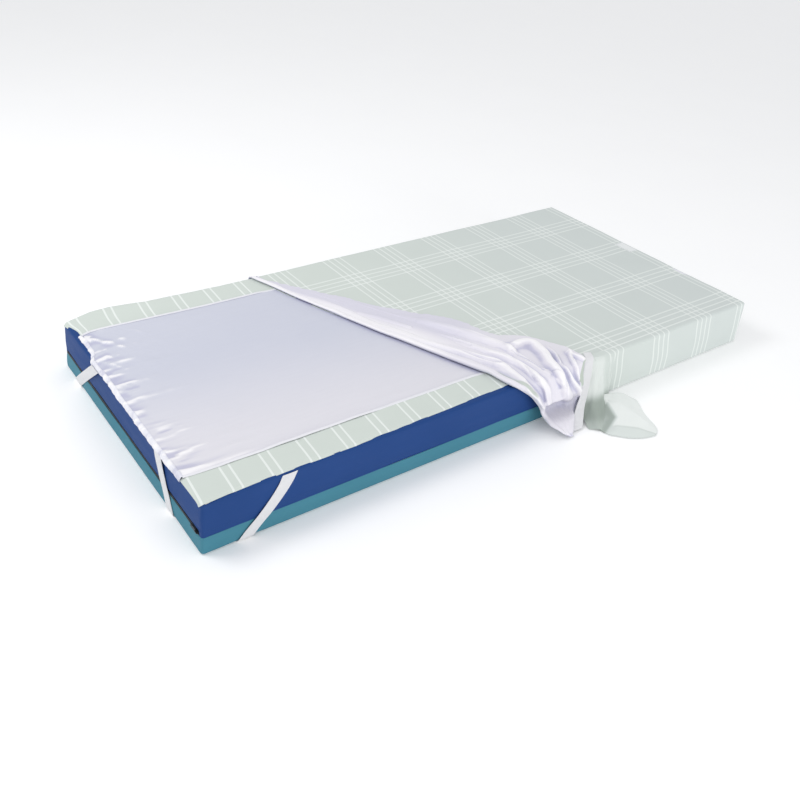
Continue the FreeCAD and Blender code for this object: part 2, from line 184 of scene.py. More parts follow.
def box_surface(name, xs, ys, zs, faces, r, deform=None, t=0.001, tag_z=10.0, keep=None):
    """Rounded box skin as a closed thin shell. xs, ys, zs are the lattice lines, faces a set of side names,
    deform(p, lattice) moves the rounded points. UV is in metres; side walls carry v = z + tag_z."""
    xs, ys, zs = map(np.asarray, (xs, ys, zs))
    lo, hi = np.array([xs[0], ys[0], zs[0]]), np.array([xs[-1], ys[-1], zs[-1]])
    verts, quads, uvs, seen = [], [], [], {}
    rr = r if isinstance(r, dict) else {"lo": r, "hi": r}

    def vid(i, j, k):
        key = (i, j, k)
        if key not in seen:
            seen[key] = len(verts)
            verts.append((xs[i], ys[j], zs[k]))
        return seen[key]

    def add(ids, uv4):
        if keep is not None and not keep(np.mean([verts[a] for a in ids], axis=0)):
            return
        quads.append(ids)
        uvs.extend(uv4)

    nx, ny, nz = len(xs), len(ys), len(zs)
    if "top" in faces or "bottom" in faces:
        for side, k in (("top", nz - 1), ("bottom", 0)):
            if side not in faces:
                continue
            for i in range(nx - 1):
                for j in range(ny - 1):
                    c = [(i, j), (i + 1, j), (i + 1, j + 1), (i, j + 1)]
                    if side == "bottom":
                        c = c[::-1]
                    add([vid(a, b, k) for a, b in c], [(xs[a], ys[b]) for a, b in c])
    for side, j in (("front", 0), ("rear", ny - 1)):
        if side not in faces:
            continue
        for i in range(nx - 1):
            for k in range(nz - 1):
                c = [(i, k), (i + 1, k), (i + 1, k + 1), (i, k + 1)]
                if side == "rear":
                    c = c[::-1]
                add([vid(a, j, b) for a, b in c], [(xs[a], zs[b] + tag_z) for a, b in c])
    for side, i in (("foot", 0), ("head", nx - 1)):
        if side not in faces:
            continue
        for j in range(ny - 1):
            for k in range(nz - 1):
                c = [(j, k), (j + 1, k), (j + 1, k + 1), (j, k + 1)]
                if side == "foot":
                    c = c[::-1]
                add([vid(i, a, b) for a, b in c], [(ys[a], zs[b] + tag_z) for a, b in c])
    lat = np.array(verts, float)
    # each axis is rounded only against faces that exist
    rad = np.full(3, rr["hi"])
    lo_in = lo + np.array([rad[0] if "foot" in faces else 0, rad[1] if "front" in faces else 0, rr["lo"] if "bottom" in faces else 0])
    hi_in = hi - np.array([rad[0] if "head" in faces else 0, rad[1] if "rear" in faces else 0, rad[2] if "top" in faces else 0])
    inner = np.clip(lat, lo_in, hi_in)
    d = lat - inner
    ln = np.linalg.norm(d, axis=1, keepdims=True)
    rloc = np.where(lat[:, 2:3] < 0.5 * (lo[2] + hi[2]), np.maximum(rr["lo"], 1e-9) if "bottom" in faces else rr["hi"], rr["hi"])
    # plan corners keep the full radius, the bottom edge its own
    horizontal = np.linalg.norm(d[:, :2], axis=1, keepdims=True)
    rxy = rr["hi"]
    nrm = np.where(ln > 1e-9, d / np.maximum(ln, 1e-9), 0)
    pos = lat.copy()
    both = (np.abs(d[:, 2:3]) > 1e-9) & (horizontal > 1e-9)
    flat_xy = np.where(horizontal > 1e-9, inner[:, :2] + d[:, :2] / np.maximum(horizontal, 1e-9) * np.minimum(rxy, 1e9), lat[:, :2])
    pos[:, :2] = np.where(horizontal > 1e-9, flat_xy, lat[:, :2])
    # bend over top and bottom edges
    ang_in = np.clip(horizontal / rxy, 0, 1)
    dz = np.abs(d[:, 2:3])
    rz = np.where(d[:, 2:3] > 0, rr["hi"], rr["lo"])
    # where a point belongs to both a wall and the top, share the arc between them
    sel = both[:, 0]
    if sel.any():
        h = np.minimum(horizontal[sel] / rxy, 1)
        v = np.minimum(dz[sel] / rz[sel], 1)
        ln2 = np.sqrt(h * h + v * v)
        hh, vv = h / ln2, v / ln2
        dirxy = d[sel][:, :2] / np.maximum(horizontal[sel], 1e-9)
        pos[sel, :2] = inner[sel][:, :2] + dirxy * hh * rxy
        pos[sel, 2] = inner[sel][:, 2] + np.sign(d[sel][:, 2]) * (vv * rz[sel])[:, 0]
    # a point on the top or bottom face away from the walls has no horizontal part and keeps its place
    only_top = (dz[:, 0] > 1e-9) & (horizontal[:, 0] <= 1e-9)
    pos[only_top] = lat[only_top]
    if deform is not None:
        pos = deform(pos, lat)
    q = np.array(quads)
    if t:
        # vertex normals for the inner skin
        fn = np.cross(pos[q[:, 2]] - pos[q[:, 0]], pos[q[:, 3]] - pos[q[:, 1]])
        vn = np.zeros_like(pos)
        for c in range(4):
            np.add.at(vn, q[:, c], fn)
        vn = unit(vn)
        k = len(pos)
        inner_pos = pos - vn * t
        edges = {}
        for f in q:
            for e in range(4):
                key = (int(f[e]), int(f[(e + 1) % 4]))
                edges[key] = True
        rim = [(b, a, a + k, b + k) for (a, b) in edges if (b, a) not in edges]
        allq = np.concatenate([q, q[:, ::-1] + k, np.array(rim, int).reshape(-1, 4)])
        uvs = np.array(uvs)
        uv_in = uvs.reshape(-1, 4, 2)[:, ::-1].reshape(-1, 2)
        vert_uv = np.zeros((k, 2))
        vert_uv[q.ravel()] = uvs
        rim_uv = [vert_uv[i % k] for f in rim for i in f]
        loop_uv = np.concatenate([uvs, uv_in, np.array(rim_uv).reshape(-1, 2)])
        ob = mesh_object(name, np.concatenate([pos, inner_pos]), allq, normals=np.concatenate([vn, -vn]), flat=2 * len(q))
        used = np.zeros(2 * k, bool)
        used[allq.ravel()] = True
        lay = ob.data.uv_layers.new(name="UVMap")
        lay.data.foreach_set("uv", loop_uv.astype(np.float32).ravel())
        if not used.all():
            bm = bmesh.new()
            bm.from_mesh(ob.data)
            bmesh.ops.delete(bm, geom=[v for v in bm.verts if not v.link_faces], context="VERTS")
            bm.to_mesh(ob.data)
            bm.free()
        return ob
    ob = mesh_object(name, pos, q)
    lay = ob.data.uv_layers.new(name="UVMap")
    lay.data.foreach_set("uv", np.array(uvs).astype(np.float32).ravel())
    return ob


def bind(ob, nodes, material, keep_normals=True):
    """Cuts a long soft piece between the bends and hands each length to its joint."""
    me = ob.data
    me.materials.clear()
    me.materials.append(material)
    co = np.zeros(len(me.vertices) * 3)
    me.vertices.foreach_get("co", co)
    xs = co[0::3]
    lims = [-9.0] + list(CUTS) + [9.0]
    if keep_normals and "rest_n" not in me.attributes:
        nrm = np.zeros(len(me.vertices) * 3, np.float32)
        me.vertex_normals.foreach_get("vector", nrm)
        at = me.attributes.new("rest_n", "FLOAT_VECTOR", "POINT")
        at.data.foreach_set("vector", nrm)
    made = []
    base = ob.name
    parts = [k for k in range(3) if xs.max() > lims[k] + 1e-4 and xs.min() < lims[k + 1] - 1e-4]
    for k in parts:
        part = ob.copy()
        part.data = me.copy()
        bpy.context.scene.collection.objects.link(part)
        bm = bmesh.new()
        bm.from_mesh(part.data)
        for x, sign in ((lims[k], 1), (lims[k + 1], -1)):
            if xs.min() < x - 1e-5 < xs.max() or xs.min() < x + 1e-5 < xs.max():
                bmesh.ops.bisect_plane(bm, geom=bm.verts[:] + bm.edges[:] + bm.faces[:], dist=1e-6, plane_co=(x, 0, 0),
                                       plane_no=(1, 0, 0), clear_inner=sign > 0, clear_outer=sign < 0)
                edges = [e for e in bm.edges if e.is_boundary and all(abs(v.co.x - x) < 1e-5 for v in e.verts)]
                if edges:
                    before = set(bm.faces)
                    bmesh.ops.holes_fill(bm, edges=edges, sides=0)
                    for f in bm.faces:
                        if f not in before:
                            f.smooth = False
        bm.to_mesh(part.data)
        bm.free()
        part.name = base + ("" if len(parts) == 1 else "_" + "abc"[k])
        made.append((k, part))
    bpy.data.objects.remove(ob)
    out = []
    for k, part in made:
        pm = part.data
        if keep_normals and "rest_n" in pm.attributes:
            n = np.zeros(len(pm.vertices) * 3, np.float32)
            pm.attributes["rest_n"].data.foreach_get("vector", n)
            n = n.reshape(-1, 3)
            lv = np.zeros(len(pm.loops), np.int32)
            pm.loops.foreach_get("vertex_index", lv)
            ln = n[lv].copy()
            for f in pm.polygons:
                if not f.use_smooth:
                    ln[f.loop_start:f.loop_start + f.loop_total] = 0
            pm.normals_split_custom_set(ln.tolist())
            pm.attributes.remove(pm.attributes["rest_n"])
        c = np.zeros(len(pm.vertices) * 3)
        pm.vertices.foreach_get("co", c)
        x = c[0::3]
        a, b, s, e = ZONES[k]
        if x.max() <= s:
            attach(part, a)
        elif x.min() >= e:
            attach(part, b)
        else:
            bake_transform(part, a, b, start=(s, 0, 0), end=(e, 0, 0))
        mine = [n for n in nodes if NODE_BOX[n][1].x > x.min() + 0.004 and NODE_BOX[n][0].x < x.max() - 0.004]
        if mine:
            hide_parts(*mine)
        out.append(part)
    return out


# ------------------------------------------------------------------------------------------ materials
class Mat:
    def __init__(self, name):
        self.m = bpy.data.materials.new(name)
        self.m.use_nodes = True
        self.nt = self.m.node_tree
        self.bsdf = self.nt.nodes["Principled BSDF"]

    def node(self, kind, **props):
        n = self.nt.nodes.new(kind)
        for k, v in props.items():
            setattr(n, k, v)
        return n

    def link(self, a, b):
        self.nt.links.new(a, b)

    def put(self, socket, value):
        if hasattr(value, "default_value") and hasattr(value, "node"):
            self.link(value, socket)
        else:
            socket.default_value = value

    def math(self, op, a, b=None, c=None, clamp=False):
        n = self.node("ShaderNodeMath", operation=op, use_clamp=clamp)
        self.put(n.inputs[0], a)
        if b is not None:
            self.put(n.inputs[1], b)
        if c is not None:
            self.put(n.inputs[2], c)
        return n.outputs[0]

    def ramp(self, x, a, b, lo=0.0, hi=1.0):
        n = self.node("ShaderNodeMapRange", interpolation_type="SMOOTHSTEP")
        self.put(n.inputs["Value"], x)
        n.inputs["From Min"].default_value = a
        n.inputs["From Max"].default_value = b
        n.inputs["To Min"].default_value = lo
        n.inputs["To Max"].default_value = hi
        return n.outputs[0]

    def mix(self, f, a, b):
        n = self.node("ShaderNodeMix", data_type="RGBA")
        self.put(n.inputs[0], f)
        self.put(n.inputs[6], a if not isinstance(a, tuple) else (*a, 1.0) if len(a) == 3 else a)
        self.put(n.inputs[7], b if not isinstance(b, tuple) else (*b, 1.0) if len(b) == 3 else b)
        return n.outputs[2]

    def uv(self):
        n = self.node("ShaderNodeUVMap", uv_map="UVMap")
        s = self.node("ShaderNodeSeparateXYZ")
        self.link(n.outputs[0], s.inputs[0])
        return n.outputs[0], s.outputs[0], s.outputs[1]

    def obj(self):
        n = self.node("ShaderNodeTexCoord")
        s = self.node("ShaderNodeSeparateXYZ")
        self.link(n.outputs["Object"], s.inputs[0])
        return n.outputs["Object"], s.outputs

    def noise(self, vec, scale, detail=2.0, rough=0.5, stretch=None):
        if stretch is not None:
            mp = self.node("ShaderNodeMapping")
            self.link(vec, mp.inputs["Vector"])
            mp.inputs["Scale"].default_value = stretch
            vec = mp.outputs[0]
        n = self.node("ShaderNodeTexNoise")
        self.link(vec, n.inputs["Vector"])
        n.inputs["Scale"].default_value = scale
        n.inputs["Detail"].default_value = detail
        n.inputs["Roughness"].default_value = rough
        return n.outputs[0]

    def bump(self, height, strength, distance, normal=None):
        n = self.node("ShaderNodeBump")
        n.inputs["Strength"].default_value = strength
        n.inputs["Distance"].default_value = distance
        self.link(height, n.inputs["Height"])
        if normal is not None:
            self.link(normal, n.inputs["Normal"])
        self.link(n.outputs[0], self.bsdf.inputs["Normal"])
        return n.outputs[0]

    def weave(self, u, v, pitch_u, pitch_v):
        """Plain weave height, 0 to 1."""
        a = self.math("SINE", self.math("MULTIPLY", u, 2 * math.pi / pitch_u))
        b = self.math("SINE", self.math("MULTIPLY", v, 2 * math.pi / pitch_v))
        return self.math("MULTIPLY_ADD", self.math("MULTIPLY", a, b), 0.5, 0.5)

    def done(self, color, rough, **more):
        self.put(self.bsdf.inputs["Base Color"], color if not isinstance(color, tuple) else (*color[:3], 1.0))
        self.put(self.bsdf.inputs["Roughness"], rough)
        for k, v in more.items():
            self.put(self.bsdf.inputs[k.replace("_", " ")], v if not isinstance(v, tuple) or len(v) == 4 else (*v, 1.0))
        return self.m


def lin(h):
    h = h.lstrip("#")
    c = [int(h[i:i + 2], 16) / 255 for i in (0, 2, 4)]
    return tuple(x / 12.92 if x <= 0.04045 else ((x + 0.055) / 1.055) ** 2.4 for x in c)


def scaled(c, k):
    return tuple(min(max(x * k, 0), 1) for x in c)


def lines(M, coord, first, period, offsets, half, soft=0.0008):
    """Mask of woven lines that repeat every period, at +- each offset from the group's centre."""
    a = M.math("DIVIDE", M.math("SUBTRACT", coord, first), period)
    d = M.math("ABSOLUTE", M.math("MULTIPLY", M.math("SUBTRACT", a, M.math("ROUND", a)), period))
    out = None
    for o in offsets:
        e = M.math("ABSOLUTE", M.math("SUBTRACT", d, o))
        k = M.ramp(e, half - soft, half + soft, 1.0, 0.0)
        out = k if out is None else M.math("MAXIMUM", out, k)
    return out


SAGE, SAGE_LINE = lin("#D1D9D2"), lin("#EEF3EF")
TINT = {}


def check_cloth(name, plaid=True, bands=False):
    M = Mat(name)
    vec, u, v = M.uv()
    if plaid:
        across = lines(M, u, -0.290, 0.2142, (0.0115, 0.0345), 0.0026)
        along = lines(M, v, 0.285, 0.2283, (0.0115, 0.0345), 0.0026)
        both = M.math("MAXIMUM", across, along)
        extra = M.math("MULTIPLY", across, along)
        mask = M.math("MULTIPLY_ADD", both, 0.72, M.math("MULTIPLY", extra, 0.28), clamp=True)
    else:
        across = lines(M, u, -0.901, 0.1035, (0.0120,), 0.0027)
        mask = M.math("MULTIPLY", across, 0.85)
    cloud = M.noise(vec, 5.0, 3.0)
    fine = M.noise(vec, 900.0, 2.0)
    base = M.mix(cloud, scaled(SAGE, 0.965), scaled(SAGE, 1.03))
    head = M.ramp(u, -0.4, 1.0)
    base = M.mix(M.math("MULTIPLY", head, 0.45), base, lin("#CDD4D6"))
    col = M.mix(mask, base, SAGE_LINE)
    weave = M.weave(u, v, 0.0011, 0.0011)
    col = M.mix(M.math("MULTIPLY_ADD", weave, 0.05, M.math("MULTIPLY", fine, 0.05)), col, scaled(SAGE, 0.8))
    tint = M.node("ShaderNodeAttribute", attribute_name="shade")
    col = M.mix(M.math("MULTIPLY", tint.outputs["Fac"], 0.75), col, lin("#8E9A90"))
    # painted light: lit faces are mixed towards near-white
    painted_light = M.node("ShaderNodeAttribute", attribute_name="painted_light")
    col = M.mix(painted_light.outputs["Fac"], col, lin("#F1F4F1"))
    height = M.math("ADD", M.math("MULTIPLY", weave, 0.5), M.math("MULTIPLY", mask, 1.2))
    M.bump(height, 0.35, 0.0004)
    return M.done(col, M.ramp(fine, 0.2, 0.8, 0.72, 0.86), Sheen_Weight=0.25, Sheen_Roughness=0.5)


def satin_cloth(name, light, shade, gloss=0.36, near=None):
    M = Mat(name)
    vec, u, v = M.uv()
    if near is not None:
        # warmer and paler towards the front: partly painted sheen, partly the cloth's own tone
        k = M.ramp(M.math("ADD", v, M.math("MULTIPLY", u, 0.12)), -0.42, 0.05, 1.0, 0.0)
        light, shade = M.mix(k, light, near), M.mix(k, shade, scaled(near, 0.97))
        dark = lin("#B9BACB")
    else:
        dark = scaled(light, 0.90)
    cloud = M.noise(vec, 3.0, 3.0)
    streak = M.noise(vec, 40.0, 3.0, 0.6, stretch=(0.25, 3.0, 1.0))
    twill = M.math("SINE", M.math("MULTIPLY", M.math("ADD", M.math("MULTIPLY", u, 0.55), v), 2 * math.pi / 0.0009))
    col = M.mix(cloud, light, shade)
    col = M.mix(M.math("MULTIPLY", streak, 0.12), col, dark)
    col = M.mix(M.ramp(twill, -1, 1, 0.0, 0.04), col, dark)
    tint = M.node("ShaderNodeAttribute", attribute_name="shade")
    col = M.mix(tint.outputs["Fac"], col, lin("#A9A8B4"))
    # painted highlight on fold crests and painted shade in fold hollows, mixed in from vertex attributes
    crest_highlight = M.node("ShaderNodeAttribute", attribute_name="crest_highlight")
    hollow_shade = M.node("ShaderNodeAttribute", attribute_name="hollow_shade")
    col = M.mix(M.math("MULTIPLY", crest_highlight.outputs["Fac"], 0.85), col, lin("#FDFBFC"))
    col = M.mix(M.math("MULTIPLY", hollow_shade.outputs["Fac"], 0.80), col, lin("#B3B3CF"))
    turn = M.node("ShaderNodeAttribute", attribute_name="turn")
    col = M.mix(turn.outputs["Fac"], col, lin("#BFC9BE"))
    # painted shade: ambient occlusion tints the folds lavender
    ao = M.node("ShaderNodeAmbientOcclusion", samples=6)
    ao.inputs["Distance"].default_value = 0.022
    col = M.mix(M.ramp(ao.outputs["AO"], 0.45, 0.97, 0.85, 0.0), col, lin("#BDBED6"))
    height = M.math("ADD", M.math("MULTIPLY", twill, 0.2), M.math("MULTIPLY", streak, 1.4))
    M.bump(height, 0.22, 0.0008)
    return M.done(col, M.ramp(streak, 0.2, 0.8, gloss - 0.05, gloss + 0.09), Sheen_Weight=0.35, Sheen_Roughness=0.3,
                  Specular_IOR_Level=0.45)


def cover_cloth(name, color, stitches):
    """Coated stretch knit: fine loops, soft gloss, faint creases, stitch rows at the given heights."""
    M = Mat(name)
    vec, u, v = M.uv()
    cloud = M.noise(vec, 4.0, 4.0)
    crease = M.noise(vec, 14.0, 4.0, 0.6, stretch=(0.35, 1.0, 1.0))
    knit = M.weave(u, v, 0.0014, 0.0018)
    col = M.mix(cloud, scaled(color, 0.90), scaled(color, 1.08))
    col = M.mix(M.math("MULTIPLY", knit, 0.10), col, scaled(color, 1.35))
    wear = M.ramp(M.noise(vec, 55.0, 3.0), 0.60, 0.78, 0.0, 0.16)
    col = M.mix(wear, col, scaled(color, 1.25))
    row = None
    for z in stitches:
        k = M.ramp(M.math("ABSOLUTE", M.math("SUBTRACT", v, 10.0 + z)), 0.0004, 0.0008, 1.0, 0.0)
        row = k if row is None else M.math("MAXIMUM", row, k)
    height = M.math("ADD", M.math("MULTIPLY", knit, 0.25), M.math("MULTIPLY", crease, 1.6))
    if row is not None:
        dash = M.ramp(M.math("ABSOLUTE", M.math("SUBTRACT", M.math("FRACT", M.math("DIVIDE", u, 0.0042)), 0.5)), 0.30, 0.36, 1.0, 0.0)
        st = M.math("MULTIPLY", row, dash)
        col = M.mix(M.math("MULTIPLY", st, 0.7), col, scaled(color, 1.7))
        height = M.math("ADD", height, M.math("MULTIPLY", st, 1.5))
        near = None
        for z in stitches:
            k = M.ramp(M.math("ABSOLUTE", M.math("SUBTRACT", v, 10.0 + z)), 0.0, 0.0035, 0.35, 0.0)
            near = k if near is None else M.math("MAXIMUM", near, k)
        col = M.mix(near, col, scaled(color, 0.72))
    M.bump(height, 0.30, 0.0007)
    return M.done(col, M.ramp(crease, 0.3, 0.7, 0.52, 0.62), Sheen_Weight=0.0, Specular_IOR_Level=0.12)


def webbing(name, color, rib=0.0016):
    M = Mat(name)
    vec, u, v = M.uv()
    ribs = M.math("SINE", M.math("MULTIPLY", u, 2 * math.pi / rib))
    cords = M.math("SINE", M.math("MULTIPLY", v, 2 * math.pi / 0.0024))
    h = M.math("ADD", M.math("MULTIPLY", ribs, 0.4), M.math("MULTIPLY", cords, 0.6))
    fuzz = M.noise(vec, 300.0, 3.0)
    col = M.mix(M.ramp(h, -1, 1, 0.0, 0.22), color, scaled(color, 0.80))
    col = M.mix(M.math("MULTIPLY", fuzz, 0.12), col, scaled(color, 0.86))
    M.bump(h, 0.5, 0.0004)
    return M.done(col, 0.78, Sheen_Weight=0.3)


def foam_block(name, color):
    M = Mat(name)
    vec, _ = M.obj()
    cells = M.node("ShaderNodeTexVoronoi")
    M.link(vec, cells.inputs["Vector"])
    cells.inputs["Scale"].default_value = 700.0
    cloud = M.noise(vec, 6.0, 3.0)
    col = M.mix(cloud, scaled(color, 0.95), scaled(color, 1.03))
    col = M.mix(M.ramp(cells.outputs["Distance"], 0.0, 0.5, 0.35, 0.0), col, scaled(color, 0.72))
    M.bump(cells.outputs["Distance"], 0.5, 0.0006)
    return M.done(col, 0.93)


def small_hard(name, color, rough, metal=0.0, scratch=0.25, scale=600.0):
    M = Mat(name)
    vec, _ = M.obj()
    n1 = M.noise(vec, scale, 4.0)
    n2 = M.noise(vec, scale * 0.2, 2.0)
    col = M.mix(M.math("MULTIPLY", n1, scratch), color, scaled(color, 1.8))
    M.bump(n2, 0.2, 0.0002)
    return M.done(col, M.ramp(n1, 0.3, 0.7, rough - 0.06, rough + 0.10), Metallic=metal)


def zip_tape_cloth(name, color):
    M = Mat(name)
    vec, s = M.obj()
    h = M.weave(s[1], s[2], 0.0016, 0.0012)
    n = M.noise(vec, 250.0, 2.0)
    col = M.mix(M.math("MULTIPLY", h, 0.35), color, scaled(color, 1.9))
    col = M.mix(M.math("MULTIPLY", n, 0.25), col, scaled(color, 0.7))
    M.bump(h, 0.6, 0.0004)
    return M.done(col, 0.8)


def label_cloth(name):
    M = Mat(name)
    vec, s = M.obj()
    lo, hi = NODE_BOX["care_label"]
    ex = M.math("MINIMUM", M.math("SUBTRACT", s[0], lo.x), M.math("SUBTRACT", hi.x, s[0]))
    ey = M.math("MINIMUM", M.math("SUBTRACT", s[1], lo.y), M.math("SUBTRACT", hi.y, s[1]))
    e = M.math("MINIMUM", ex, ey)
    hem = M.ramp(M.math("ABSOLUTE", M.math("SUBTRACT", e, 0.003)), 0.0004, 0.0009, 1.0, 0.0)
    weave = M.weave(s[0], s[1], 0.0009, 0.0009)
    n = M.noise(vec, 60.0, 3.0)
    col = M.mix(n, lin("#E6EAE9"), lin("#F2F4F4"))
    col = M.mix(M.math("MULTIPLY", hem, 0.55), col, lin("#9AA3A6"))
    M.bump(M.math("ADD", weave, hem), 0.4, 0.0003)
    return M.done(col, 0.6, Sheen_Weight=0.2)


BLUE, TEAL = lin("#234580"), lin("#488496")
M_BLUE = cover_cloth("cover_blue", BLUE, (0.0515, 0.0655))
M_TEAL = cover_cloth("cover_teal", TEAL, (0.0445,))
M_SATIN = satin_cloth("glide_satin", lin("#D3D5E1"), lin("#CBCEDC"), near=lin("#E5E3E9"))
M_LINING = satin_cloth("sheet_satin", lin("#EFECF2"), lin("#E6E3EC"), 0.34)
M_CHECK = check_cloth("sheet_check")
M_BAND = check_cloth("band_check", plaid=False)
M_PIPING = webbing("piping", lin("#EDEDF2"), 0.0030)
M_HEM = satin_cloth("glide_hem", lin("#F0F0F6"), lin("#E6E6EF"), 0.45)
M_ELASTIC = webbing("elastic", lin("#E6E6E8"))
M_FOAM_BASE = foam_block("foam_base", lin("#E6E2CF"))
M_FOAM_TOP = foam_block("foam_comfort", lin("#F0EEDF"))
M_TAPE = zip_tape_cloth("zip_tape", lin("#161B22"))
M_COIL = small_hard("zip_coil", lin("#14181E"), 0.42)
M_SLIDER = small_hard("zip_metal", lin("#1B1E22"), 0.35, 0.6)
M_LABEL = label_cloth("label")


def paint(node, m):
    o = NODES[node]
    o.data.materials.clear()
    o.data.materials.append(m)


for n in ("zip_tape_lower", "zip_tape_upper"):
    paint(n, M_TAPE)
for n in ("zip_coil_lower", "zip_coil_upper", "zip_end_stops"):
    paint(n, M_COIL)
for n in ("zip_slider", "zip_pull"):
    paint(n, M_SLIDER)
paint("care_label", M_LABEL)

# ------------------------------------------------------------------------------------------ plan lines
_fold = np.array([(0.466, -0.388), (0.363, -0.372), (0.26, -0.341), (0.159, -0.304), (0.03, -0.249), (-0.102, -0.191),
                  (-0.215, -0.141), (-0.322, -0.094), (-0.405, -0.061), (-0.435, -0.047), (-0.480, -0.030)])[::-1]


def fold_x(y):
    return pchip(_fold[:, 0], _fold[:, 1:2], np.ravel(y))[:, 0].reshape(np.shape(y))


# ------------------------------------------------------------------------------------------ cover
R_EDGE = 0.008
edge_steps = np.array([0.0, 0.0012, 0.0028, 0.0050, 0.0080])


def along_x(step=0.02, fine=()):
    parts = [FOOT + edge_steps, HEAD - edge_steps, np.arange(FOOT + 0.02, HEAD - 0.015, step)]
    for a, b, s in fine:
        parts.append(np.arange(a, b, s))
    return merged(*parts)


def cover_push(p, lat, z0, z1, seed):
    """The cloth bellies out a little between its seams and carries faint waves."""
    out = p.copy()
    s = np.clip((p[:, 2] - z0) / (z1 - z0), 0, 1)
    belly = 0.0014 * np.sin(math.pi * s) ** 0.7
    wave = 0.0011 * noise(p[:, 0] + p[:, 1], p[:, 2] * 2, 0.16, 0.08, seed, 2)
    for axis, half in ((0, 1.0), (1, 0.45)):
        d = np.abs(p[:, axis]) - (half - R_EDGE)
        w = np.clip(d / R_EDGE, 0, 1)
        out[:, axis] += np.sign(p[:, axis]) * w * (belly + wave)
    return out


def build_covers():
    xs = along_x(0.02, [(KNEE_X - 0.09, KNEE_X + 0.09, 0.01), (THIGH_X - 0.09, THIGH_X + 0.09, 0.01),
                        (BACK_X - 0.09, BACK_X + 0.11, 0.01)])
    ys = merged(-0.45 + edge_steps, 0.45 - edge_steps, np.arange(-0.43, 0.43, 0.02), [-0.4380, -0.4355, 0.4355, 0.4380])
    slot_top = 0.062
    zs = merged(np.linspace(SEAM_Z + 0.0003, TOP - R_EDGE, 15), TOP - edge_steps)

    def up(p, lat):
        z_bot = SEAM_Z + 0.0003
        open_ = (lat[:, 0] < FOOT + 0.0005) * (1 - smooth(np.abs(lat[:, 1]), 0.4355, 0.4380))
        zl = z_bot + open_ * (slot_top - z_bot)
        side = p[:, 2] < TOP - R_EDGE
        q = p.copy()
        q[:, 2] = np.where(side, zl + (p[:, 2] - z_bot) * (TOP - R_EDGE - zl) / (TOP - R_EDGE - z_bot), p[:, 2])
        q = cover_push(q, lat, z_bot, TOP, 5)
        # front foot corner sits a little low
        w = smooth(-q[:, 0], 0.90, 1.0) * smooth(-q[:, 1], 0.34, 0.45) * smooth(q[:, 2], 0.09, 0.145)
        q[:, 2] -= 0.0018 * w
        return q

    ob = box_surface("upper_cover", xs, ys, zs, {"top", "front", "rear", "foot", "head"}, R_EDGE, up)
    bind(ob, ["upper_cover_" + s for s in ("calf", "thigh", "seat", "back")], M_BLUE)

    zs = merged(np.array([0.0, 0.0006, 0.0015, 0.0026, 0.004]), np.linspace(0.004, SEAM_Z + 0.0002, 9))

    def low(p, lat):
        q = cover_push(p, lat, -0.004, SEAM_Z, 9)
        # channels under the corners for the straps
        for ex, sy, f, s in ((-1, -1, 0.285, 0.110), (-1, 1, 0.350, 0.110), (1, -1, 0.290, 0.110), (1, 1, 0.290, 0.110)):
            a = np.array([ex * 1.0, sy * f])
            b = np.array([ex * (1.0 - s), sy * 0.45])
            d = b - a
            L = np.linalg.norm(d)
            d = d / L
            rel = q[:, :2] - a
            off = np.abs(rel[:, 0] * d[1] - rel[:, 1] * d[0])
            near = (1 - smooth(off, 0.030, 0.045)) * smooth(rel @ d, -0.05, -0.03) * (1 - smooth(rel @ d, L + 0.03, L + 0.05))
            q[:, 2] += 0.0015 * near * (q[:, 2] < 0.004)
        return q

    ob = box_surface("lower_cover", xs, ys, zs, {"bottom", "front", "rear", "foot", "head"}, {"lo": 0.004, "hi": R_EDGE}, low)
    bind(ob, ["lower_cover_" + s for s in ("calf", "thigh", "seat", "back")], M_TEAL)


# ------------------------------------------------------------------------------------------ foam and hidden elastic: the CAD shapes, free to bend
def adopt(stem, sections, material):
    for s in sections:
        node = stem + "_" + s
        src = NODES[node]
        me = src.data.copy()
        ob = bpy.data.objects.new(stem + "_" + s + "_soft", me)
        bpy.context.scene.collection.objects.link(ob)
        bm = bmesh.new()
        bm.from_mesh(me)
        bmesh.ops.remove_doubles(bm, verts=bm.verts[:], dist=1e-6)
        lo, hi = NODE_BOX[node][0].x, NODE_BOX[node][1].x
        for a, b, s0, e0 in ZONES:
            for x in np.arange(s0, e0 + 0.001, 0.015):
                if lo + 0.002 < x < hi - 0.002:
                    bmesh.ops.bisect_plane(bm, geom=bm.verts[:] + bm.edges[:] + bm.faces[:], dist=1e-6,
                                           plane_co=(float(x), 0, 0), plane_no=(1, 0, 0))
        bm.to_mesh(me)
        bm.free()
        for a in list(me.attributes):
            if a.name in ("custom_normal",):
                me.attributes.remove(a)
        me.polygons.foreach_set("use_smooth", np.zeros(len(me.polygons), bool))
        bind(ob, [node], material, keep_normals=False)


# ------------------------------------------------------------------------------------------ glide sheet
def satin_height(x, y):
    """Soft creases of the glide panel: short puckers off the foot hem, long ones beside the front seam."""
    d = x - FOOT
    near = np.exp(-d / 0.10)
    puck = noise(x, y, 0.09, 0.018, 31, 2) * near * 0.0075
    diag = noise(x * 0.8 + y * 0.6, x * -0.6 + y * 0.8, 0.020, 0.12, 37, 2) * np.exp(-d / 0.12) * np.exp(-np.abs(y - 0.31) / 0.14) * 0.0110
    front = noise(x, y, 0.16, 0.020, 41, 2) * np.exp(-(y + 0.345) / 0.07) * 0.0026
    rear = noise(x, y, 0.16, 0.024, 43, 2) * np.exp(-(0.345 - y) / 0.05) * 0.0016
    broad = noise(x, y, 0.28, 0.22, 47, 2) * 0.0018 + noise(x + 0.3 * y, y - 0.2 * x, 0.30, 0.05, 53, 2) * 0.0009
    h = puck + diag + front + rear + broad
    under = smooth(fold_x(y) - x, -0.01, 0.05)
    h = 0.5 * (h + np.sqrt(h * h + 0.0016 ** 2))
    return 0.0003 + (0.0010 + h) * under


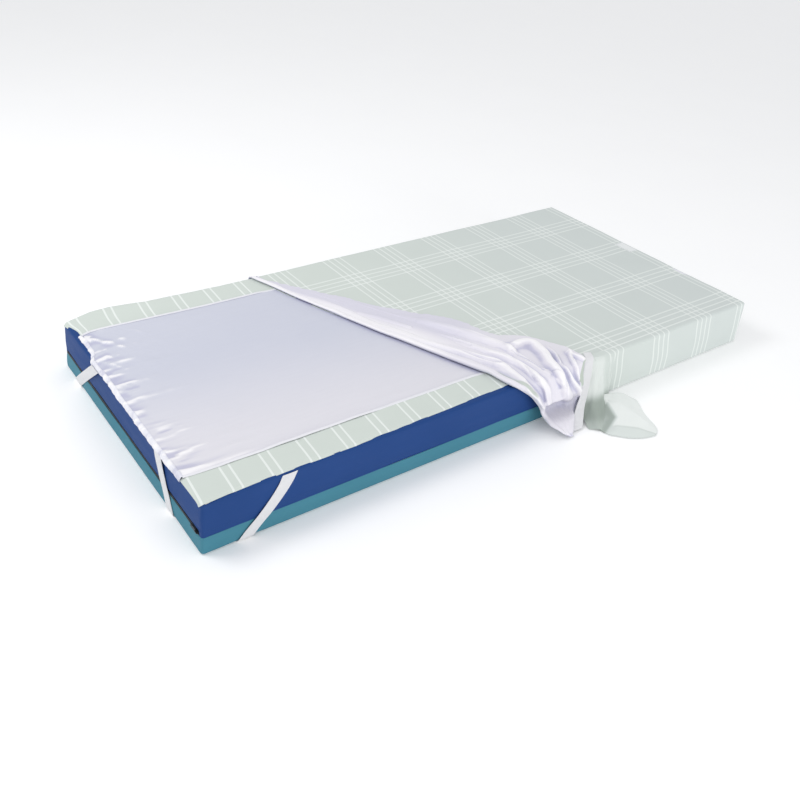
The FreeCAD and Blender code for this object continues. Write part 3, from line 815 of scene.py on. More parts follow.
def seam_y(x, side):
    """The seams between panel and side bands are pulled a little out of line near the foot."""
    if side > 0:
        return np.interp(x, [-1.0, -0.985, -0.962, -0.87, -0.75, -0.60, -0.45], [0.3480, 0.3580, 0.3640, 0.3650, 0.3580, 0.3520, 0.3495])
    return np.interp(x, [-1.0, -0.97, -0.90], [0.3450, 0.3480, 0.3495])


def foot_in(y):
    """How far the gathered hem pulls the foot edge back, most of all beside the rear strap."""
    return 0.0165 * smooth(y, 0.205, 0.262) * (1 - smooth(y, 0.375, 0.445)) + 0.0030 * smooth(y, 0.02, 0.10) * (1 - smooth(y, 0.13, 0.18))


def build_glide():
    xs = merged([FOOT + 0.0022, HEAD - 0.0022], np.arange(FOOT + 0.004, -0.02, 0.0045), np.arange(-0.02, HEAD - 0.01, 0.02))
    ys = np.linspace(-0.3492, 0.3492, 152)
    X, Y = np.meshgrid(xs, ys, indexing="ij")
    Z = TOP + 0.0009 + satin_height(X, Y)
    soft = Z.copy()
    for _ in range(16):
        soft[1:-1] = 0.25 * soft[:-2] + 0.5 * soft[1:-1] + 0.25 * soft[2:]
        soft[:, 1:-1] = 0.25 * soft[:, :-2] + 0.5 * soft[:, 1:-1] + 0.25 * soft[:, 2:]
    relief = (Z - soft) * np.exp(-np.maximum(X - FOOT - 0.03, 0) / 0.12)
    U = X.copy()
    V = Y.copy()
    Y = Y / 0.3492 * np.where(Y > 0, seam_y(X, 1), seam_y(X, -1))
    X = X + foot_in(Y) * np.exp(-(X - FOOT) / 0.06)
    p = np.stack([X, Y, Z], -1)
    # painted highlight on the pucker crests, painted shade in their hollows
    ob = shell("glide_panel", p, np.stack([U, V], -1), 0.0009,
               attrs={"crest_highlight": smooth(relief, 0.00015, 0.0011), "hollow_shade": 0.8 * smooth(-relief, 0.0001, 0.0009)})
    bind(ob, ["glide_panel_" + s for s in ("calf", "thigh", "seat", "back")], M_SATIN)

    secs = ("calf", "thigh", "seat", "back")
    for side, tag in ((-1, "front"), (1, "rear")):
        # seam tape: a raised ribbon with a slight wander
        xs2 = merged([FOOT + 0.0022, HEAD - 0.0022], np.arange(FOOT + 0.004, 0.0, 0.005), np.arange(0.0, HEAD - 0.01, 0.02))
        a = np.linspace(-1, 1, 7)
        X, A = np.meshgrid(xs2, a, indexing="ij")
        wander = 0.0010 * noise(X, X * 0, 0.06, 1.0, 61 + side, 2)
        under = smooth(fold_x(np.full_like(X, side * 0.349)) - X, -0.01, 0.05)
        Y = side * seam_y(X, side) + A * 0.0045 + wander
        low = np.maximum(satin_height(X, np.full_like(X, side * 0.349)), 0.0016 * under)
        Z = TOP + 0.0009 + (low + 0.0006) * (0.2 + 0.8 * under) + (0.0002 + 0.0014 * under) * np.sqrt(np.maximum(1 - 0.9 * A ** 2, 0))
        pr = np.stack([X + foot_in(Y) * np.exp(-(X - FOOT) / 0.06), Y, Z], -1)
        ob = shell("glide_seam_tape_" + tag, pr, np.stack([X, A * 0.004], -1), 0.0009)
        bind(ob, ["glide_seam_tapes_" + s for s in secs], M_PIPING)

        # check band: flat on top, its outer edge just short of the mattress's side
        xs3 = merged([FOOT - 0.004, HEAD - 0.0022], FOOT - 0.004 + np.array([0.0015, 0.003, 0.005, 0.0075, 0.011, 0.015]),
                     np.arange(FOOT + 0.015, 0.0, 0.006), np.arange(0.0, HEAD - 0.01, 0.02))
        X, T = np.meshgrid(xs3, merged(np.linspace(0, 0.86, 16), np.linspace(0.86, 1.0, 9)), indexing="ij")
        if side < 0:
            out = np.interp(X, [-1.0, -0.97, -0.85, -0.74, -0.60, -0.45, -0.28, -0.09], [0.4475, 0.4475, 0.4435, 0.4430, 0.4435, 0.4400, 0.4355, 0.4300])
            rise = 0 * X
        else:
            out = np.interp(X, [-1.0, -0.96, -0.92, -0.86, -0.78, -0.70, -0.58, -0.40], [0.4475, 0.4510, 0.4580, 0.4600, 0.4530, 0.4505, 0.4495, 0.4495])
            rise = np.interp(X, [-1.0, -0.96, -0.92, -0.86, -0.80, -0.76, -0.70, -0.58, -0.50], [0.0, 0.0060, 0.0105, 0.0120, 0.0090, 0.0060, 0.0055, 0.0020, 0.0])
        out = out + 0.0012 * noise(X, X * 0, 0.055, 1.0, 69 + side, 2)
        inner = seam_y(X, side) + 0.0006
        Yo = inner + (out - inner) * T
        under = smooth(fold_x(side * Yo) - X, -0.01, 0.05)
        h = noise(X, T * 0.1, 0.10, 0.05, 71 + side, 2) * 0.0010 + noise(X, T * 0.1, 0.035, 0.2, 75 + side) * 0.0004
        hem = 0.0011 * noise(X, X * 0, 0.045, 1.0, 79 + side, 2) * smooth(T, 0.82, 1.0)
        Z = TOP + 0.0010 + (0.0014 + h) * under * (1 - smooth(T, 0.93, 1.0)) + (0.0005 + hem) * under - 0.0016 * smooth(T, 0.90, 1.0) * (1 - smooth(rise, 0.001, 0.004)) * (side < 0) + rise * smooth(T, 0.30, 1.0) ** 1.3
        end = np.clip((FOOT + 0.011 - X) / 0.015, 0, 1)
        Z = Z - 0.0060 * end ** 2
        c = np.clip((0.012 - (X - (FOOT - 0.004))) / 0.012, 0, 1)
        k = smooth(Yo, 0.425, 0.4475)
        Yo = Yo - 0.0050 * (c ** 2) * k
        Z = Z - 0.0020 * (c ** 2) * k
        pb = np.stack([X + foot_in(side * Yo) * np.exp(-np.maximum(X - FOOT, 0) / 0.05), side * Yo, Z], -1)
        U = (X + 0.09 * (Yo - 0.395)) if side < 0 else (X + 0.872) * (0.1035 / 0.107) - 0.901 - 0.05 * (Yo - 0.395)
        ob = shell("glide_side_band_" + tag, pb, np.stack([U + 0 * X, side * Yo], -1), 0.0009, side=side)
        bind(ob, ["glide_side_bands_" + s for s in secs], M_BAND)

    # foot hem: a gathered roll over the end edge
    m = 460
    ys = np.linspace(-0.3475, 0.3520, m)
    prof = np.array([(0.0042, 0.0), (0.0026, 0.0009), (0.0002, 0.0015), (-0.0026, 0.0015), (-0.0052, 0.0006), (-0.0074, -0.0012),
                     (-0.0086, -0.0038), (-0.0085, -0.0066), (-0.0076, -0.0088)])
    t = np.linspace(0, 1, len(prof))
    pf = pchip(t, prof, np.linspace(0, 1, 24))
    Yg, K = np.meshgrid(ys, np.arange(24), indexing="ij")
    px_, pz_ = pf[:, 0][K], pf[:, 1][K]
    kk = K / 23.0
    pucker = noise(Yg, kk * 0.02, 0.013, 0.03, 81, 2)
    bow = 0.0016 * np.cos(Yg / 0.353 * math.pi / 2)
    X = FOOT + px_ + bow * smooth(kk, 0.2, 0.7) - 0.0026 * pucker * smooth(kk, 0.15, 0.6) + 0.0020 * noise(Yg, kk * 0, 0.05, 1.0, 87, 2) * smooth(kk, 0.2, 0.8)
    X = X + foot_in(Yg)
    on_top = satin_height(np.maximum(X, FOOT + 0.0022), Yg)
    Z = TOP + 0.0012 + pz_ + on_top * (1 - smooth(kk, 0.25, 0.6)) + 0.0020 * pucker * smooth(kk, 0.1, 0.4) * (1 - 0.4 * kk) + 0.0007 * smooth(kk, 0, 0.15)
    Z = Z + 0.0045 * np.clip(foot_in(Yg) / 0.016, 0, 1) * smooth(kk, 0.3, 1.0)
    # painted highlight on the gathered puckers, painted shade between them
    ob = shell("glide_foot_hem", np.stack([X, Yg, Z], -1), np.stack([Yg, kk * 0.04], -1), 0.0012, side=1,
               attrs={"crest_highlight": smooth(pucker, 0.1, 0.7), "hollow_shade": 0.55 * smooth(-pucker, 0.1, 0.7)})
    bind(ob, ["glide_foot_hem"], M_HEM)
    # head hem: lies flat round the end edge, under the fitted sheet
    ys = np.linspace(-0.3475, 0.3475, 240)
    prof = np.array([(-0.0120, 0.0009), (-0.0080, 0.0012), (-0.0040, 0.0010), (-0.0010, -0.0028), (0.0007, -0.0080)])
    pf = pchip(np.linspace(0, 1, len(prof)), prof, np.linspace(0, 1, 14))
    Yg, K = np.meshgrid(ys, np.arange(14), indexing="ij")
    pucker = noise(Yg, K / 13.0 * 0.02, 0.016, 0.03, 83, 2)
    ob = shell("glide_head_hem", np.stack([HEAD + pf[:, 0][K], Yg, TOP + pf[:, 1][K] + 0.0003 * pucker], -1), np.stack([Yg, K / 13.0 * 0.03], -1), 0.0008, side=1)
    for part in bind(ob, ["glide_head_hem"], M_HEM):
        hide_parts("glide_head_hem")


def build_strap(stem, end, side, out_x, w, end_path, side_path, belly=0.0):
    """One elastic: down the end wall, under the corner, up the long side."""
    ez = np.array([z for z, d in end_path])[::-1]
    ed = np.array([d for z, d in end_path])[::-1]
    sz = np.array([z for z, d in side_path])[::-1]
    sd = np.array([d for z, d in side_path])[::-1]
    ex = end * (1.0 + out_x + 0.001)
    ey = side * (0.45 + 0.0042)
    zt = np.linspace(ez[-1], 0.004, 26)
    d1 = pchip(ez, ed[:, None], zt)[:, 0]
    rows = []
    for z, d in zip(zt, d1):
        xx = end * (1.0022 + (out_x - 0.0012 if out_x > 0.002 else 0.0) * float(smooth(z, 0.035, 0.138)) + (0.0011 if z < 0.07 else 0.0011 * (1 - float(smooth(z, 0.07, 0.09)))))
        rows.append(((xx, side * (d - w), z), (xx, side * (d + w), z)))
    ex = rows[-1][0][0]
    bx = end * (1.0 - sd[0])
    a0, a1 = (ex - end * 0.002, side * (d1[-1] - w), 0.0007), (ex - end * 0.002, side * (d1[-1] + w), 0.0007)
    b0, b1 = (bx - end * w, ey - side * 0.003, 0.0007), (bx + end * w, ey - side * 0.003, 0.0007)
    for f in np.linspace(0, 1, 14):
        rows.append((tuple(np.array(a0) * (1 - f) + np.array(b0) * f), tuple(np.array(a1) * (1 - f) + np.array(b1) * f)))
    zt = np.linspace(0.004, sz[-1], 26)
    d2 = pchip(sz, sd[:, None], zt)[:, 0]
    for z, d in zip(zt, d2):
        x = end * (1.0 - d)
        bow = 0.6 * belly * math.sin(math.pi * min(max(z / 0.145, 0), 1))
        tuck = 0.0026 * smooth(z, 0.125, 0.145)
        rows.append(((x - end * w, ey + side * (bow - tuck), z), (x + end * w, ey + side * (bow - tuck), z)))
    rows = np.array(rows)
    f = np.linspace(0, 1, 9)
    p = rows[:, None, 0] * (1 - f[None, :, None]) + rows[:, None, 1] * f[None, :, None]
    seg = np.concatenate([[0], np.cumsum(np.linalg.norm(np.diff(rows.mean(1), axis=0), axis=1))])
    U, V = np.meshgrid(seg, (f - 0.5) * 2 * w, indexing="ij")
    n = grid_normals(p)
    mid = p[len(p) // 8, 4] - np.array([0.0, 0.0, 0.07])
    s = 1 if np.dot(n[8, 4], np.array([end, 0, 0])) > 0 else -1
    crown = 0.0005 * (1 - (2 * f - 1) ** 2)
    p = p + n * s * crown[None, :, None]
    ob = shell(stem, p, np.stack([U, V], -1), 0.0011, side=s)
    bind(ob, [stem], M_ELASTIC)


M_PIPING_OBJ = small_hard("piping_hidden", lin("#EDEDF0"), 0.8)


# ------------------------------------------------------------------------------------------ fitted sheet
SHEET_TOP = TOP + 0.0032
WALL_Y = 0.4545


def lean(x):
    """How far the check's cross lines drift towards the head on the drop."""
    return np.interp(x, [0.30, 0.345, 0.55, 0.76, 0.96], [0.012, 0.014, 0.019, 0.016, 0.010])


def build_sheet():
    x0 = -0.26

    def keep(c):
        return not (c[0] < 0.262 and c[1] < -0.4465)

    xs = merged(np.array([x0, x0 + 0.003, x0 + 0.007, x0 + 0.012, x0 + 0.018]), np.arange(x0 + 0.02, 0.262, 0.01), [0.262], np.arange(0.272, 0.46, 0.01), np.arange(0.46, HEAD - 0.01, 0.014),
                HEAD + 0.0045 - edge_steps)
    ys = merged(-WALL_Y + edge_steps, WALL_Y - edge_steps, np.arange(-0.44, 0.44, 0.011))
    zs = merged(np.linspace(0.0012, SHEET_TOP - R_EDGE, 22), SHEET_TOP - edge_steps)

    def place(p, lat):
        q = p.copy()
        xf = fold_x(lat[:, 1]) + 0.0035 + 0.0110 * smooth(lat[:, 1], -0.22, 0.02) * (1 - smooth(lat[:, 1], 0.36, 0.44))
        xc = 0.25
        q[:, 0] = np.where(lat[:, 0] < xc, xf + (lat[:, 0] - x0) * (xc - xf) / (xc - x0), p[:, 0])
        # top: broad soft waves, none under the tag
        top = smooth(q[:, 2], SHEET_TOP - 0.014, SHEET_TOP - 0.002)
        away = np.clip(np.abs(q[:, 0] - 0.975) / 0.05 + np.abs(q[:, 1] - 0.04) / 0.06 - 1.2, 0, 1)
        h = noise(q[:, 0], q[:, 1], 0.26, 0.20, 101, 2) * 0.0020 + noise(q[:, 0] + 0.5 * q[:, 1], q[:, 1], 0.30, 0.07, 103) * 0.0007
        q[:, 2] += top * away * (h - 0.0006)
        # walls: the cloth hangs free, so it leans and waves
        drop = np.clip((SHEET_TOP - q[:, 2]) / (SHEET_TOP - 0.002), 0, 1)
        wave = noise(q[:, 0], drop * 0.05, 0.075, 0.2, 107, 2) * 0.0022 + noise(q[:, 0], drop * 0.08, 0.022, 0.3, 109) * 0.0007
        wy = np.clip((np.abs(p[:, 1]) - (WALL_Y - R_EDGE)) / R_EDGE, 0, 1)
        free = smooth(drop, 0.0, 0.6) * smooth(q[:, 2], 0.008, 0.035)
        q[:, 1] += np.sign(p[:, 1]) * wy * (wave * free + 0.0010 * np.sin(math.pi * drop) + 0.0005)
        wx = np.clip((p[:, 0] - (HEAD + 0.0045 - R_EDGE)) / R_EDGE, 0, 1)
        wave2 = noise(q[:, 1], drop * 0.05, 0.08, 0.2, 113, 2) * 0.0022
        q[:, 0] += wx * (wave2 * free + 0.0010 * np.sin(math.pi * drop) + 0.0008)
        hem = 1 - smooth(q[:, 2], 0.0012, 0.012)
        pull = hem * 0.0002 * noise(q[:, 0] + q[:, 1], q[:, 2], 0.018, 1.0, 115)
        q[:, 1] -= np.sign(p[:, 1]) * wy * pull
        q[:, 0] -= wx * pull
        return q

    ob = box_surface("fitted_sheet", xs, ys, zs, {"top", "front", "rear", "head"}, R_EDGE, place, t=0.001, tag_z=0.0, keep=keep)
    me = ob.data
    # check coordinates: (x, y) on top, running on down the walls
    nl = len(me.loops)
    lv = np.zeros(nl, np.int32)
    me.loops.foreach_get("vertex_index", lv)
    co = np.zeros(len(me.vertices) * 3)
    me.vertices.foreach_get("co", co)
    co = co.reshape(-1, 3)
    starts = np.array([f.loop_start for f in me.polygons])
    tot = np.array([f.loop_total for f in me.polygons])
    centre = np.array([f.center[:] for f in me.polygons])
    normal = np.array([f.normal[:] for f in me.polygons])
    fid = np.repeat(np.arange(len(me.polygons)), tot)
    pc = co[lv]
    drop = np.maximum(SHEET_TOP - pc[:, 2], 0)
    uv = np.stack([pc[:, 0], pc[:, 1]], -1)
    c = centre[fid]
    on_y = (np.abs(c[:, 1]) > WALL_Y - 0.006) & (c[:, 2] < SHEET_TOP - 0.003)
    on_x = (c[:, 0] > HEAD - 0.002) & (c[:, 2] < SHEET_TOP - 0.003) & (np.abs(c[:, 1]) <= np.abs(c[:, 0]) * 0 + WALL_Y - 0.006)
    ease = smooth(drop, 0.0, 0.110)
    uv[:, 0] = np.where(on_y & (c[:, 1] < 0), pc[:, 0] - lean(pc[:, 0]) * ease, uv[:, 0])
    uv[:, 1] = np.where(on_y, np.sign(c[:, 1]) * (WALL_Y + drop * 0.94), uv[:, 1])
    uv[:, 0] = np.where(on_x, HEAD + drop * 0.94, uv[:, 0])
    me.uv_layers["UVMap"].data.foreach_set("uv", uv.astype(np.float32).ravel())
    bind(ob, ["fitted_sheet_" + s for s in ("thigh", "seat", "back")], M_CHECK)


# fold side and far side of the turned-back part, station by station, then over the front edge and down:
# (left xyz, right xyz, mid xyz or None, puff)
ST = [
    ((-0.390, 0.4600, 0.1000), (-0.358, 0.4600, 0.0920), None, 0.000),
    ((-0.390, 0.4605, 0.1250), (-0.358, 0.4605, 0.1220), None, 0.000),
    ((-0.389, 0.4560, 0.1455), (-0.360, 0.4560, 0.1455), None, 0.000),
    ((-0.386, 0.4400, 0.1500), (-0.360, 0.4380, 0.1500), None, 0.000),
    ((-0.3601, 0.3642, 0.1500), (-0.330, 0.3760, 0.1500), None, 0.001),
    ((-0.3227, 0.2472, 0.1500), (-0.262, 0.2870, 0.1500), None, 0.001),
    ((-0.2949, 0.1710, 0.1500), (-0.195, 0.2030, 0.1500), None, 0.001),
    ((-0.2570, 0.0641, 0.1500), (-0.133, 0.1060, 0.1500), None, 0.001),
    ((-0.2193, -0.0395, 0.1500), (-0.058, 0.0200, 0.1500), None, 0.002),
    ((-0.1922, -0.1025, 0.1500), (0.000, -0.0360, 0.1500), None, 0.003),
    ((-0.1552, -0.1976, 0.1500), (0.050, -0.1150, 0.1500), None, 0.004),
    ((-0.1312, -0.2592, 0.1500), (0.085, -0.2050, 0.1500), None, 0.005),
    ((-0.0995, -0.3355, 0.1500), (0.165, -0.2640, 0.1500), None, 0.006),
    ((-0.0815, -0.3742, 0.1500), (0.200, -0.3180, 0.1500), None, 0.006),
    ((-0.0750, -0.4130, 0.1500), (0.230, -0.3800, 0.1505), None, 0.006),
    ((-0.0690, -0.4410, 0.1498), (0.232, -0.4300, 0.1540), None, 0.005),
    ((-0.0490, -0.4570, 0.1420), (0.2261, -0.4460, 0.1489), (0.100, -0.4640, 0.1520), 0.0),
    ((-0.0070, -0.4630, 0.1120), (0.2110, -0.4625, 0.1180), (0.098, -0.4800, 0.1290), 0.0),
    ((0.0150, -0.4680, 0.0860), (0.2040, -0.4760, 0.0880), (0.098, -0.4890, 0.1070), 0.0),
    ((0.0220, -0.4750, 0.0740), (0.1990, -0.4780, 0.0700), (0.102, -0.4950, 0.0860), 0.0),
    ((0.0265, -0.4790, 0.0600), (0.1840, -0.4860, 0.0560), (0.102, -0.4790, 0.0700), 0.0),
    ((0.0285, -0.4840, 0.0490), (0.1720, -0.4920, 0.0470), (0.104, -0.4730, 0.0520), 0.0),
    ((0.0320, -0.4980, 0.0370), (0.1580, -0.4980, 0.0370), (0.104, -0.4930, 0.0400), 0.0),
    ((0.0300, -0.5200, 0.0330), (0.1460, -0.5070, 0.0270), (0.102, -0.5280, 0.0340), 0.0),
    ((0.0420, -0.5420, 0.0270), (0.1360, -0.5150, 0.0180), (0.092, -0.5460, 0.0240), 0.0),
    ((0.0610, -0.5510, 0.0160), (0.1180, -0.5300, 0.0090), (0.090, -0.5560, 0.0120), 0.0),
    ((0.0780, -0.5550, 0.0050), (0.1080, -0.5390, 0.0030), (0.093, -0.5560, 0.0030), 0.0),
]
# folds: reach on either side, then (station, share of the width, height) along the crest
FOLDS = [
    (0.01, 0.012, [(4.84, 0.497, 0.0010), (6.02, 0.402, 0.0020), (6.74, 0.314, 0.0030), (7.47, 0.213, 0.0040), (8.66, 0.189, 0.0060), (9.76, 0.183, 0.0090), (10.53, 0.225, 0.0110), (11.72, 0.213, 0.0120), (12.79, 0.213, 0.0130), (14.01, 0.166, 0.0130), (15.69, 0.101, 0.0120), (17.43, 0.071, 0.0100), (18.76, 0.047, 0.0060)]),   # roll crest
    (0.009, 0.014, [(7.75, 0.775, 0.0010), (8.49, 0.734, 0.0040), (9.14, 0.698, 0.0110), (9.84, 0.686, 0.0150), (10.53, 0.728, 0.0150), (11.29, 0.704, 0.0130), (11.90, 0.615, 0.0100), (12.45, 0.550, 0.0060)]),   # second crest
    (0.009, 0.01, [(9.74, 0.479, 0.0020), (10.72, 0.479, 0.0060), (11.72, 0.414, 0.0090), (12.83, 0.373, 0.0110), (14.14, 0.320, 0.0130), (15.53, 0.272, 0.0140), (17.00, 0.243, 0.0130), (18.65, 0.207, 0.0080)]),   # mid ridge
    (0.012, 0.012, [(12.17, 0.615, 0.0060), (12.21, 0.698, 0.0150), (12.45, 0.763, 0.0190), (12.93, 0.775, 0.0210), (13.73, 0.675, 0.0210), (14.79, 0.580, 0.0190), (16.37, 0.491, 0.0170), (17.86, 0.556, 0.0140), (20.40, 0.740, 0.0070)]),   # puffy fold
    (0.003, 0.018, [(12.45, 0.568, 0.0040), (13.63, 0.473, 0.0070), (14.79, 0.444, 0.0080), (15.45, 0.467, 0.0050)]),   # lap line
    (0.006, 0.006, [(13.30, 0.864, 0.0070), (14.07, 0.751, 0.0120), (15.45, 0.621, 0.0140), (16.91, 0.663, 0.0140), (18.31, 0.834, 0.0110), (19.67, 0.982, 0.0050)]),   # right ridge
    (0.005, 0.004, [(14.40, 0.899, 0.0100), (15.61, 0.781, 0.0120), (16.73, 0.781, 0.0110), (17.75, 0.858, 0.0080), (18.76, 0.929, 0.0040)]),   # edge ridge
    (0.006, 0.006, [(14.33, 0.899, 0.0080), (14.85, 0.905, 0.0120), (15.77, 0.964, 0.0090)]),   # corner
    (0.003, 0.003, [(15.45, 0.450, 0.0030), (16.55, 0.426, 0.0070), (17.43, 0.497, 0.0040)]),   # streak
    (0.007, 0.009, [(13.02, 0.355, -0.0010), (13.96, 0.278, -0.0050), (15.45, 0.189, -0.0070), (17.00, 0.142, -0.0060), (18.31, 0.107, -0.0030)]),   # valley one
    (0.007, 0.008, [(12.83, 0.947, -0.0030), (13.77, 0.769, -0.0070), (14.98, 0.645, -0.0080), (16.64, 0.586, -0.0060)]),   # valley lavender
    (0.006, 0.007, [(15.53, 0.456, -0.0040), (16.28, 0.420, -0.0100), (17.22, 0.450, -0.0080)]),   # hollow
    (0.005, 0.005, [(16.10, 0.876, -0.0080), (16.82, 0.870, -0.0120), (17.64, 0.828, -0.0090)]),   # mouth side
    (0.008, 0.01, [(6.94, 0.467, 0.0020), (7.68, 0.497, 0.0040), (8.73, 0.426, 0.0040)]),   # far crease
    (0.005, 0.005, [(10.72, 0.249, -0.0030), (11.75, 0.201, -0.0050), (12.79, 0.213, -0.0050)]),   # low crease
    (0.0025, 0.003, [(12.45, 0.527, -0.0020), (13.73, 0.456, -0.0040), (15.06, 0.432, -0.0040)]),   # thin line a
    (0.0025, 0.003, [(14.07, 0.325, -0.0020), (15.53, 0.237, -0.0040), (17.00, 0.183, -0.0040), (18.31, 0.142, -0.0020)]),   # thin line b
    (0.0025, 0.003, [(15.21, 0.775, -0.0020), (16.37, 0.704, -0.0040), (17.32, 0.775, -0.0040)]),   # thin line c
    (0.004, 0.006, [(10.16, 0.580, -0.0020), (11.15, 0.580, -0.0030), (12.12, 0.509, -0.0020)]),   # long soft a
    (0.004, 0.006, [(9.11, 0.438, -0.0010), (9.95, 0.450, -0.0030), (10.97, 0.462, -0.0030)]),   # long soft b
    (0.003, 0.004, [(4.75, 0.882, 0.0006), (5.43, 0.757, 0.0014), (6.31, 0.669, 0.0012)]),   # rear crinkle a
    (0.003, 0.004, [(6.29, 0.923, 0.0006), (6.96, 0.840, 0.0014), (7.91, 0.740, 0.0014)]),   # rear crinkle b
    (0.003, 0.004, [(5.84, 0.657, 0.0005), (6.81, 0.639, -0.0012), (7.56, 0.639, -0.0012)]),   # rear crinkle c
]


def flap_base(m, nt):
    k = len(ST)
    ctrl = np.zeros((k, 5, 3))
    for i, (L, R, mid, puff) in enumerate(ST):
        L, R = np.array(L), np.array(R)
        for j, t in enumerate((0, .25, .5, .75, 1)):
            ctrl[i, j] = L * (1 - t) + R * t
            if mid is not None:
                ctrl[i, j] += (np.array(mid) - 0.5 * (L + R)) * (1 - (2 * t - 1) ** 2)
            ctrl[i, j, 2] += puff * (1 - (2 * t - 1) ** 4)
    chord = np.concatenate([[0], np.cumsum(np.linalg.norm(np.diff(ctrl[:, 2], axis=0), axis=1))])
    s = np.linspace(0, chord[-1], m)
    st = np.interp(s, chord, np.arange(k))
    rows = pchip(chord, ctrl, s)
    open_ = pchip(np.array([0, .25, .5, .75, 1.0]), rows.transpose(1, 0, 2), np.linspace(0, 1, nt)).transpose(1, 0, 2)
    return s, st, rows, open_


def crease(base, nrm, st, reach_a, reach_b, pts, n=44):
    """Height field of one fold: a rounded ridge (or valley) along a line drawn on the cloth."""
    m, nt = base.shape[:2]
    pts = np.array(pts, float)
    i = np.interp(pts[:, 0], st, np.arange(m))
    j = pts[:, 1] * (nt - 1)
    i0, j0 = np.clip(i.astype(int), 0, m - 2), np.clip(j.astype(int), 0, nt - 2)
    fi, fj = (i - i0)[:, None], (j - j0)[:, None]
    q = (base[i0, j0] * (1 - fi) + base[i0 + 1, j0] * fi) * (1 - fj) + (base[i0, j0 + 1] * (1 - fi) + base[i0 + 1, j0 + 1] * fi) * fj
    ch = np.concatenate([[0], np.cumsum(np.linalg.norm(np.diff(q, axis=0), axis=1))])
    a = np.linspace(0, ch[-1], n)
    line, high = pchip(ch, q, a), pchip(ch, pts[:, 2:3], a)[:, 0]
    P, N = base.reshape(-1, 3), nrm.reshape(-1, 3)
    best = np.full(len(P), 9.0)
    hh, sg = np.zeros(len(P)), np.ones(len(P))
    for k in range(n - 1):
        d = line[k + 1] - line[k]
        L2 = max(d @ d, 1e-12)
        rel = P - line[k]
        u = np.clip(rel @ d / L2, 0, 1)
        r = rel - u[:, None] * d
        dist = np.sqrt((r * r).sum(1))
        near = dist < best
        best[near] = dist[near]
        hh[near] = (high[k] + u * (high[k + 1] - high[k]))[near]
        sg[near] = np.sign((np.cross(d, N[near]) * r[near]).sum(1))
    w = np.where(sg > 0, reach_b, reach_a)
    return (hh * np.exp(-(best / (w * np.where(hh > 0.005, 1.28, 1.0))) ** 3.0)).reshape(m, nt)


